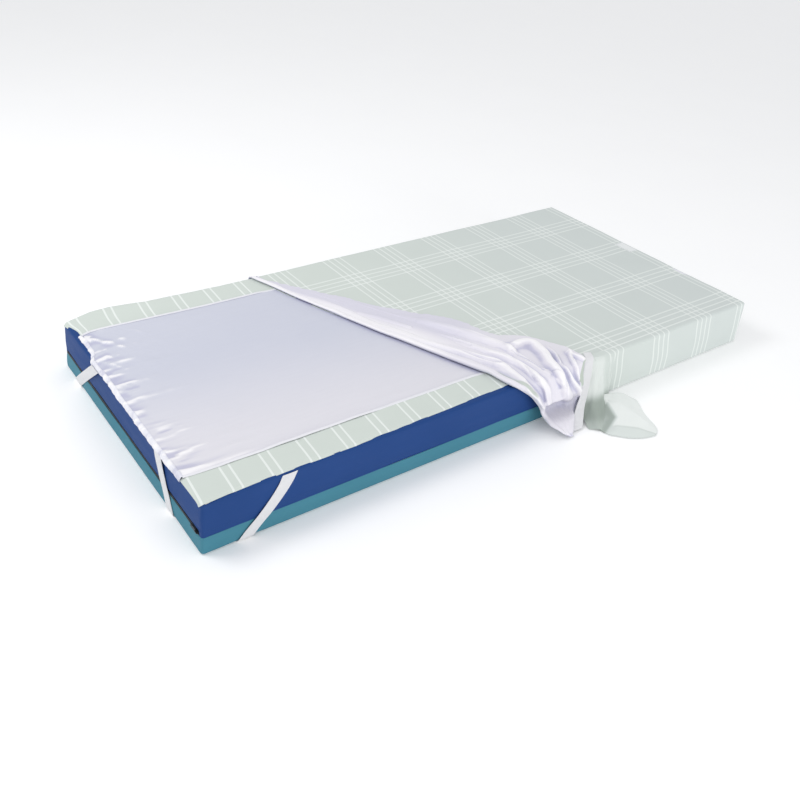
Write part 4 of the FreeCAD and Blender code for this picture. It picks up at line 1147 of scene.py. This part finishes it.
def build_flap():
    m, nt = 540, 176
    s, st, rows, open_ = flap_base(m, nt)
    t_open = np.linspace(0, 1, nt)
    n0 = grid_normals(open_)
    n0 = n0 * np.sign(n0[m // 3, nt // 2, 2])
    for _ in range(10):
        n0[1:-1] = unit(n0[:-2] + 2 * n0[1:-1] + n0[2:])
        n0[:, 1:-1] = unit(n0[:, :-2] + 2 * n0[:, 1:-1] + n0[:, 2:])
    A = unit(open_[:, 6] - open_[:, 0])                  # across, at the fold
    N = n0[:, 4]
    r = np.interp(st, [0, 4, 8, 12, 15, 18, 22, 26], [.0026, .0032, .0050, .0072, .0070, .0058, .0040, .0018])
    r = r * (1 + 0.20 * noise(s, s * 0, 0.06, 1.0, 201, 2))
    T = np.tile(t_open, (m, 1))
    width = np.linalg.norm(rows[:, 4] - rows[:, 0], axis=1)
    along = s[:, None] * np.ones((1, nt))
    x_across = T * width[:, None]
    lift = 2 * r[:, None] * np.exp(-(np.maximum(x_across - r[:, None], 0) / (2.0 * r[:, None] + 0.004)) ** 2)
    for ra, rb, pts in FOLDS:
        lift += crease(open_, n0, st, ra, rb, pts)
    amp = np.interp(st, [0, 4, 8, 12, 18, 22, 26], [.0003, .0007, .0013, .0022, .0022, .0020, .0006])
    lift += amp[:, None] * noise(along + 0.08 * T, T, 0.10, 0.075, 271, 2)
    lift += 0.35 * amp[:, None] * noise(along, T, 0.045, 0.030, 277, 2)
    # lies down at its far hem
    flat = smooth(T, 0.955, 1.0) * np.interp(st, [0, 8, 14.5, 15.5], [0.85, 0.85, 0.75, 0.15])[:, None]
    lift = lift * (1 - flat)
    lift *= np.interp(st, [0, 2, 3], [0.5, 0.7, 1])[:, None]
    lift = np.where(st[:, None] > 19.5, lift, np.maximum(lift, 0.0006))
    # ragged far hem
    rag = np.interp(st, [0, 3, 5, 13, 14.5], [0, 1, 1, 1, 0])
    hem_in = 0.0022 * noise(s, s * 0, 0.007, 1.0, 281) + 0.0045 * noise(s, s * 0, 0.055, 1.0, 283, 2)
    body = open_ + n0 * lift[..., None]
    body += (A * (hem_in * rag)[:, None])[:, None, :] * smooth(T, 0.90, 1.0)[..., None]
    # rolled fold: half circle about the left edge, and a short lap below
    C = open_[:, 0] + A * r[:, None] + N * r[:, None]
    roll = [C - N * r[:, None] + A * 0.016, C - N * r[:, None] + A * 0.008]
    for f in np.linspace(-math.pi / 2, math.pi / 2, 14)[:-1]:
        roll.append(C - A * (r * math.cos(f))[:, None] + N * (r * math.sin(f))[:, None])
    roll = np.stack(roll, 1)
    grow = smooth(x_across, 0.0, 0.024)
    body = body + A[:, None, :] * (r[:, None] * (1 - grow))[..., None]
    p = np.concatenate([roll, body], 1)
    seg = np.concatenate([np.zeros((m, 1)), np.cumsum(np.linalg.norm(np.diff(p, axis=1), axis=2), axis=1)], 1)
    uv = np.stack([s[:, None] * np.ones((1, p.shape[1])), seg], -1)
    stg = st[:, None] * np.ones((1, p.shape[1]))
    tt = np.concatenate([np.zeros((m, roll.shape[1])), T], 1)
    mouth = smooth(stg, 19.2, 19.9) * (1 - smooth(stg, 21.6, 23.4)) * smooth(tt, 0.02, 0.14) * (1 - smooth(tt, 0.93, 1.0))
    col = np.arange(p.shape[1])[None, :] * np.ones((m, 1))
    turn = (1 - smooth(col, 6.5, 8.5)) * smooth(stg, 10.6, 12.4) * (1 - smooth(stg, 15.6, 16.2))
    turn = np.maximum(turn, 0.85 * smooth(tt, 0.040, 0.055) * (1 - smooth(tt, 0.090, 0.110)) * smooth(stg, 12.8, 13.6) * (1 - smooth(stg, 16.5, 17.3)))
    rim = np.interp(stg, [15.7, 16.3, 17.8, 18.5], [0.955, 0.930, 0.850, 0.900])
    turn = np.maximum(turn, smooth(tt, rim, rim + 0.015) * (1 - smooth(tt, 0.985, 0.995)) * smooth(stg, 15.8, 16.1) * (1 - smooth(stg, 18.0, 18.4)))
    up = 1 if grid_normals(p)[m // 3, p.shape[1] // 2, 2] > 0 else -1
    # painted highlight on fold crests and painted shade in the valleys, from the relief of the folds
    relief = np.zeros((m, nt))
    for k_blur, w_ in ((14, 0.6), (60, 1.0)):
        soft = lift.copy()
        for _ in range(k_blur):
            soft[1:-1] = 0.25 * soft[:-2] + 0.5 * soft[1:-1] + 0.25 * soft[2:]
            soft[:, 1:-1] = 0.25 * soft[:, :-2] + 0.5 * soft[:, 1:-1] + 0.25 * soft[:, 2:]
        relief += w_ * (lift - soft)
    relief = np.concatenate([np.repeat(relief[:, :1], roll.shape[1], 1), relief], 1)
    calm = 1 - smooth(stg, 19.0, 19.8)
    crest_highlight = smooth(relief, 0.0004, 0.0046) * calm
    hollow_shade = 0.80 * smooth(-relief, 0.0010, 0.0060) * calm * smooth(tt, 0.0, 0.03)
    # towards the rear: a painted highlight strip by the fold, painted shade over the rest
    low = 1 - smooth(stg, 9.5, 11.5)
    crest_highlight = np.maximum(crest_highlight, 0.75 * (1 - smooth(tt, 0.22, 0.42)) * low)
    hollow_shade = np.maximum(hollow_shade, 0.38 * smooth(tt, 0.36, 0.52) * low)
    ob = shell("turned_back_flap", p, uv, 0.0010, side=up, attrs={"shade": 0.55 * mouth, "turn": turn, "crest_highlight": crest_highlight, "hollow_shade": hollow_shade})
    bind(ob, ["turned_back_flap_thigh", "turned_back_flap_seat", "gathered_lining"], M_LINING)


def ribbon(name, left, right, thick, nodes, material, seed, n=110, out=(0, -1, 0)):
    """Crowned elastic between two edge lines."""
    left, right = np.array(left, float), np.array(right, float)
    mid = 0.5 * (left + right)
    ch = np.concatenate([[0], np.cumsum(np.linalg.norm(np.diff(mid, axis=0), axis=1))])
    s = np.linspace(0, ch[-1], n)
    L, R = pchip(ch, left, s), pchip(ch, right, s)
    f = np.linspace(0, 1, 15)
    p = L[:, None] * (1 - f[None, :, None]) + R[:, None] * f[None, :, None]
    nr = grid_normals(p)
    sgn = 1 if nr[n // 2, 7] @ np.array(out) > 0 else -1
    e = 2 * f - 1
    crown = 0.0016 * (1 - e ** 4)
    gather = 0.0006 * noise(s[:, None] + 0 * f[None], 0 * s[:, None] + f[None], 0.006, 1.2, seed) * (1 - e ** 6)
    p = p + nr * sgn * (crown[None] + gather)[..., None]
    U, V = np.meshgrid(s, e * 0.016, indexing="ij")
    ob = shell(name, p, np.stack([U, V], -1), thick, side=sgn)
    return bind(ob, nodes, material)


def build_corner():
    # elastic along the mouth of the corner pocket
    left = [(0.2370, -0.4260, 0.1585), (0.2280, -0.4465, 0.1530), (0.2182, -0.4550, 0.1380), (0.2085, -0.4660, 0.1130), (0.1988, -0.4770, 0.0880),
            (0.1800, -0.4900, 0.0655), (0.1540, -0.5040, 0.0440), (0.1260, -0.5230, 0.0200), (0.0985, -0.5470, 0.0040)]
    right = [(0.2680, -0.4300, 0.1530), (0.2585, -0.4512, 0.1480), (0.2540, -0.4560, 0.1290), (0.2443, -0.4655, 0.1020), (0.2299, -0.4765, 0.0780),
             (0.2130, -0.4890, 0.0540), (0.1850, -0.5090, 0.0350), (0.1560, -0.5350, 0.0150), (0.1400, -0.5490, 0.0040)]
    ribbon("pocket_elastic", left, right, 0.0014, ["pocket_elastic"], M_ELASTIC, 301)

    # check side of the corner: from the elastic round to the wall, drawn into upright folds
    left = np.array([(0.2480, -0.4300, 0.1500), (0.2475, -0.4480, 0.1490), (0.2440, -0.4535, 0.1280), (0.2370, -0.4620, 0.1010), (0.2225, -0.4735, 0.0775),
                     (0.2080, -0.4850, 0.0535), (0.1920, -0.4980, 0.0305), (0.1740, -0.5190, 0.0130), (0.1560, -0.5600, 0.0025)])
    mid1 = np.array([(0.288, -0.4340, 0.1502), (0.286, -0.4500, 0.1480), (0.281, -0.4610, 0.1290), (0.274, -0.4700, 0.1020), (0.266, -0.4790, 0.0790),
                     (0.252, -0.4960, 0.0560), (0.237, -0.5190, 0.0360), (0.220, -0.5450, 0.0180), (0.193, -0.5840, 0.0025)])
    mid2 = np.array([(0.318, -0.4380, 0.1500), (0.317, -0.4530, 0.1465), (0.315, -0.4610, 0.1270), (0.312, -0.4650, 0.1020), (0.310, -0.4700, 0.0790),
                     (0.306, -0.4790, 0.0560), (0.300, -0.4920, 0.0380), (0.294, -0.5070, 0.0240), (0.285, -0.5300, 0.0080)])
    right = np.array([(0.352, -0.4440, 0.1492), (0.352, -0.4560, 0.1435), (0.352, -0.4570, 0.1280), (0.351, -0.4574, 0.1000), (0.350, -0.4576, 0.0720),
                      (0.349, -0.4578, 0.0440), (0.348, -0.4584, 0.0220), (0.347, -0.4590, 0.0060), (0.346, -0.4600, 0.0025)])
    ctrl = np.stack([left, mid1, mid2, right], 1)
    ch = np.concatenate([[0], np.cumsum(np.linalg.norm(np.diff(ctrl[:, 1], axis=0), axis=1))])
    m, nt = 130, 110
    s = np.linspace(0, ch[-1], m)
    rows = pchip(ch, ctrl, s)
    t = np.linspace(0, 1, nt)
    g = pchip(np.array([0, .28, .62, 1.0]), rows.transpose(1, 0, 2), t).transpose(1, 0, 2)
    n0 = grid_normals(g)
    n0 = n0 * (-1 if n0[m // 2, nt // 2, 1] > 0 else 1)
    T, S = np.meshgrid(t, s / ch[-1], indexing="xy")
    lift = np.zeros((m, nt))
    for tc, w, a in ((0.16, 0.060, 0.0045), (0.36, 0.065, 0.0050), (0.56, 0.060, 0.0036), (0.76, 0.055, 0.0022)):
        path = tc + 0.03 * (S - 0.3) + 0.012 * noise(S, S * 0, 0.4, 1.0, int(tc * 1000))
        lift += a * smooth(S, 0.02, 0.35) * np.exp(-((T - path) / w) ** 2)
    lift += 0.0010 * noise(S, T, 0.12, 0.05, 331, 2) * smooth(S, 0.05, 0.3)
    lift *= (1 - smooth(T, 0.90, 1.0)) * smooth(T, -0.05, 0.05)
    p = g + n0 * lift[..., None]
    U = p[..., 0] + 0 * T
    # the check's cross lines run down the drop, pulled towards the gather
    U = np.maximum(g[:, :, 0] - 0.024 * S ** 0.5, 0.200)
    V = -(0.4545 + S * 0.12)
    shade = 1.0 * smooth(S, 0.50, 0.64) * (1 - 0.40 * smooth(S, 0.80, 0.95)) * (1 - smooth(T, 0.45, 0.78)) + 0.04 * smooth(S, 0.3, 0.8)
    # painted light on the upper part of the pocket
    painted_light = 0.45 * (1 - smooth(T, 0.34, 0.60)) * (1 - smooth(S, 0.46, 0.60)) * smooth(S, 0.05, 0.15)
    ob = shell("corner_pocket", p, np.stack([U, V], -1), 0.0011, side=1 if grid_normals(p)[m // 2, nt // 2, 1] < 0 else -1, attrs={"shade": shade, "painted_light": painted_light})
    bind(ob, ["corner_pocket"], M_CHECK)

    # loose corner lying on the ground
    outline = np.array([(0.206, -0.540), (0.190, -0.562), (0.180, -0.582), (0.184, -0.604), (0.204, -0.628), (0.232, -0.653), (0.268, -0.671),
                        (0.302, -0.678), (0.330, -0.664), (0.345, -0.640), (0.354, -0.612), (0.366, -0.585), (0.384, -0.556), (0.398, -0.528),
                        (0.392, -0.505), (0.366, -0.486), (0.336, -0.472), (0.300, -0.466), (0.272, -0.474), (0.248, -0.492), (0.224, -0.515)])
    k = len(outline)
    ang = np.linspace(0, 1, k + 1)
    closed = np.concatenate([outline[-3:], outline, outline[:4]])
    par = np.concatenate([ang[-4:-1] - 1, ang[:-1], 1 + ang[:4]])
    nth = 180
    th = np.linspace(0, 1, nth, endpoint=False)
    O = pchip(par, closed, th)
    # ridge the cloth stands on: from beside the mattress out to the far tip
    ridge = np.array([(0.262, -0.506, 0.046), (0.272, -0.545, 0.043), (0.290, -0.590, 0.036), (0.314, -0.628, 0.026)])
    rk = np.linspace(0, 1, 4)
    # each outline point looks at the nearest ridge point
    fine = pchip(rk, ridge, np.linspace(0, 1, 60))
    near = np.argmin(np.linalg.norm(O[:, None] - fine[None, :, :2], axis=2), axis=1).astype(float)
    for _ in range(40):
        near = (np.roll(near, 1) + 2 * near + np.roll(near, -1)) / 4
    q = np.stack([np.interp(near, np.arange(60), fine[:, c]) for c in range(3)], -1)
    nr = 34
    rho = np.linspace(0, 1, nr)
    P = np.zeros((nr, nth, 3))
    for i, f in enumerate(rho):
        P[i, :, :2] = q[:, :2] * (1 - f) + O * f
        prof = (1 - f ** 1.22) ** 0.95
        P[i, :, 2] = 0.0025 + (q[:, 2] - 0.0025) * prof
    thg, rg = np.meshgrid(th, rho, indexing="xy")
    x, y = P[..., 0], P[..., 1]
    # crumpled cloth: flat facets between folded edges
    knots = np.array([(0.2573, -0.5309, 0.0400), (0.2404, -0.5830, 0.0290), (0.2620, -0.4980, 0.0480), (0.2850, -0.5560, 0.0470), (0.3000, -0.6100, 0.0340),
                      (0.3120, -0.5060, 0.0440), (0.3480, -0.5500, 0.0260), (0.3160, -0.6420, 0.0150), (0.2300, -0.5350, 0.0160), (0.2080, -0.5720, 0.0100),
                      (0.2120, -0.6100, 0.0130), (0.2680, -0.6420, 0.0170), (0.3500, -0.5080, 0.0330)])
    pts = [Vector((a_, b_)) for a_, b_ in outline] + [Vector((a_, b_)) for a_, b_, c_ in knots]
    zz = np.concatenate([np.full(len(outline), 0.0025), knots[:, 2]])
    tv, _, tf, ov, _, _ = delaunay_2d_cdt(pts, [], [], 0, 1e-6)
    zt = np.array([zz[o[0]] for o in ov])
    tv = np.array([v_[:] for v_ in tv])
    Z = np.full(x.shape, 0.0025)
    for a_, b_, c_ in tf:
        v0, v1, v2 = tv[a_], tv[b_], tv[c_]
        den = (v1[1] - v2[1]) * (v0[0] - v2[0]) + (v2[0] - v1[0]) * (v0[1] - v2[1])
        if abs(den) < 1e-12:
            continue
        l0 = ((v1[1] - v2[1]) * (x - v2[0]) + (v2[0] - v1[0]) * (y - v2[1])) / den
        l1 = ((v2[1] - v0[1]) * (x - v2[0]) + (v0[0] - v2[0]) * (y - v2[1])) / den
        l2 = 1 - l0 - l1
        ins = (l0 > -1e-6) & (l1 > -1e-6) & (l2 > -1e-6)
        Z = np.where(ins, l0 * zt[a_] + l1 * zt[b_] + l2 * zt[c_], Z)
    for _ in range(3):
        Z[1:-1] = 0.25 * Z[:-2] + 0.5 * Z[1:-1] + 0.25 * Z[2:]
        Z = 0.25 * np.roll(Z, 1, 1) + 0.5 * Z + 0.25 * np.roll(Z, -1, 1)
    P[..., 2] = Z + 0.0012 * noise(x, y, 0.030, 0.030, 353, 2) * (1 - rg ** 3)
    P[..., 2] = np.maximum(P[..., 2], 0.0022)
    P[0, :, 2] = P[0, :, 2].mean() if np.ptp(P[0, :, 0]) < 1e-9 else P[0, :, 2]
    verts = P.reshape(-1, 3)
    faces = []
    for i in range(nr - 1):
        for j in range(nth):
            a, b = i * nth + j, i * nth + (j + 1) % nth
            faces.append((a, a + nth, b + nth, b))
    # underside
    base = len(verts)
    under = P[-1].copy()
    under[:, 2] = 0.0006
    inner = []
    rings = [1.0, 0.97, 0.6, 0.25]
    cen = outline.mean(0)
    low = [np.concatenate([(cen + (under[:, :2] - cen) * f), np.full((nth, 1), 0.0006)], 1) for f in rings[1:]]
    verts = np.concatenate([verts] + low)
    prev = (nr - 1) * nth
    for q_ in range(len(low)):
        cur = base + q_ * nth
        for j in range(nth):
            faces.append((prev + j, cur + j, cur + (j + 1) % nth, prev + (j + 1) % nth))
        prev = cur
    faces.append(tuple(prev + j for j in range(nth)))
    verts = np.array(verts)
    uv = np.stack([0.46 + (verts[:, 0] - 0.28) * 0.5, -0.515 + (verts[:, 1] + 0.57) * 0.55], -1)
    # painted shade in the deep fold beside the elastic
    wedge = np.array([(0.2180, -0.4900), (0.2573, -0.5309), (0.2404, -0.5830), (0.1780, -0.6010), (0.1500, -0.5597)])
    deep = np.full(len(verts), 9.0)
    for k_ in range(len(wedge)):
        a_, b_ = wedge[k_], wedge[(k_ + 1) % len(wedge)]
        nx, ny = unit(np.array([b_[1] - a_[1], a_[0] - b_[0]]))
        deep = np.minimum(deep, (verts[:, 0] - a_[0]) * nx + (verts[:, 1] - a_[1]) * ny)
    sh = 0.90 * smooth(deep, -0.001, 0.006) * (1 - 0.45 * smooth(deep, 0.012, 0.030))
    # a painted dark line along the crease at its lower side; the broad facets above it get painted light
    ca, cb = np.array([0.2039, -0.5888]), np.array([0.3060, -0.6714])
    cd = unit(cb - ca)
    off = (verts[:, 0] - ca[0]) * -cd[1] + (verts[:, 1] - ca[1]) * cd[0]
    sh = np.maximum(sh, 0.35 * np.exp(-(off / 0.0022) ** 2) * smooth(verts[:, 0], 0.205, 0.225))
    painted_light = 0.55 * smooth(off, -0.002, 0.006) * (1 - smooth(deep, -0.006, 0.0)) + 0.22 * (1 - smooth(deep, -0.006, 0.0))
    ob = mesh_object("corner_tail", verts, faces, uv, {"shade": sh, "painted_light": np.clip(painted_light, 0, 0.7)})
    bm = bmesh.new()
    bm.from_mesh(ob.data)
    bmesh.ops.remove_doubles(bm, verts=bm.verts[:], dist=1e-5)
    bmesh.ops.recalc_face_normals(bm, faces=bm.faces[:])
    bm.to_mesh(ob.data)
    bm.free()
    bind(ob, ["corner_tail"], M_CHECK)


# ------------------------------------------------------------------------------------------ make it
build_covers()
for stem, mat, slot in (("foam_base", M_FOAM_BASE, "foam_base"), ("foam_comfort_layer", M_FOAM_TOP, "foam_comfort")):
    adopt(stem, ("calf", "thigh", "seat", "back"), mat)
adopt("sheet_elastic", ("thigh", "seat", "back"), M_PIPING_OBJ)
build_glide()
build_strap("corner_strap_foot_front", -1, -1, 0.0066, 0.0200, [(0.1415, 0.228), (0.094, 0.241), (0.044, 0.263), (0.0, 0.285)],
            [(0.1440, 0.2260), (0.106, 0.202), (0.079, 0.181), (0.052, 0.157), (0.027, 0.131), (0.0, 0.107)], belly=0.0010)
build_strap("corner_strap_foot_rear", -1, 1, 0.0066, 0.0235, [(0.1415, 0.182), (0.081, 0.256), (0.033, 0.313), (0.0, 0.350)],
            [(0.1440, 0.150), (0.0, 0.110)], belly=0.0010)
build_strap("corner_strap_head_front", 1, -1, -0.0002, 0.0150, [(0.1420, 0.250), (0.0, 0.290)], [(0.1420, 0.180), (0.0, 0.110)])
build_strap("corner_strap_head_rear", 1, 1, -0.0002, 0.0150, [(0.1420, 0.250), (0.0, 0.290)], [(0.1420, 0.180), (0.0, 0.110)])
build_sheet()
build_flap()
build_corner()

# ------------------------------------------------------------------------------------------ stage
floor_me = bpy.data.meshes.new("floor")
floor_me.from_pydata([(-14, -14, -0.0008), (14, -14, -0.0008), (14, 14, -0.0008), (-14, 14, -0.0008)], [], [(0, 1, 2, 3)])
floor = bpy.data.objects.new("floor", floor_me)
bpy.context.scene.collection.objects.link(floor)
FM = Mat("floor_paper")
fvec, _ = FM.obj()
fcol = FM.mix(FM.noise(fvec, 3.0, 2.0), (0.965, 0.965, 0.965), (0.985, 0.985, 0.985))
floor_me.materials.append(FM.done(fcol, 0.85, Emission_Color=(1.0, 1.0, 1.0, 1.0), Emission_Strength=0.10))

world = bpy.data.worlds.new("studio")
bpy.context.scene.world = world
world.use_nodes = True
bg = world.node_tree.nodes["Background"]
bg.inputs[0].default_value = (0.97, 0.98, 1.0, 1)
bg.inputs[1].default_value = 0.74


def area(name, loc, target, size, power, color=(1, 1, 1)):
    l = bpy.data.lights.new(name, "AREA")
    l.shape = "RECTANGLE"
    l.size, l.size_y = size
    l.energy = power
    l.color = color
    o = bpy.data.objects.new(name, l)
    bpy.context.scene.collection.objects.link(o)
    o.location = loc
    o.rotation_euler = (Vector(target) - Vector(loc)).to_track_quat("-Z", "Y").to_euler()
    return o


area("key", (-2.4, 1.0, 3.2), (0, 0, 0), (1.5, 1.5), 44)
area("fill", (0.6, -4.4, 0.9), (0, 0, 0), (3.4, 1.2), 46)
area("top", (0.3, 0.6, 4.0), (0, 0, 0), (3.0, 3.0), 4)

# ------------------------------------------------------------------------------------------ camera
yaw, pitch, roll = 0.641189, 0.448348, 0.078358
fwd = np.array([math.sin(yaw) * math.cos(pitch), math.cos(yaw) * math.cos(pitch), -math.sin(pitch)])
right = np.array([math.cos(yaw), -math.sin(yaw), 0.0])
up = np.cross(right, fwd)
r2 = right * math.cos(roll) + up * math.sin(roll)
u2 = -right * math.sin(roll) + up * math.cos(roll)
cam = bpy.data.cameras.new("camera")
cam.sensor_width = 36.0
cam.lens = 917.762 * 36.0 / 800.0
cam.shift_x = (400.0 - 360.8445) / 800.0
cam.shift_y = (256.9812 - 400.0) / 800.0
cam.clip_start = 0.05
cam_o = bpy.data.objects.new("camera", cam)
bpy.context.scene.collection.objects.link(cam_o)
rot = Matrix(((r2[0], u2[0], -fwd[0]), (r2[1], u2[1], -fwd[1]), (r2[2], u2[2], -fwd[2])))
cam_o.matrix_world = Matrix.Translation((-1.691803, -1.887579, 1.53173)) @ rot.to_4x4()
bpy.context.scene.camera = cam_o
bpy.context.scene.view_settings.view_transform = "Standard"
bpy.context.scene.view_settings.look = "None"
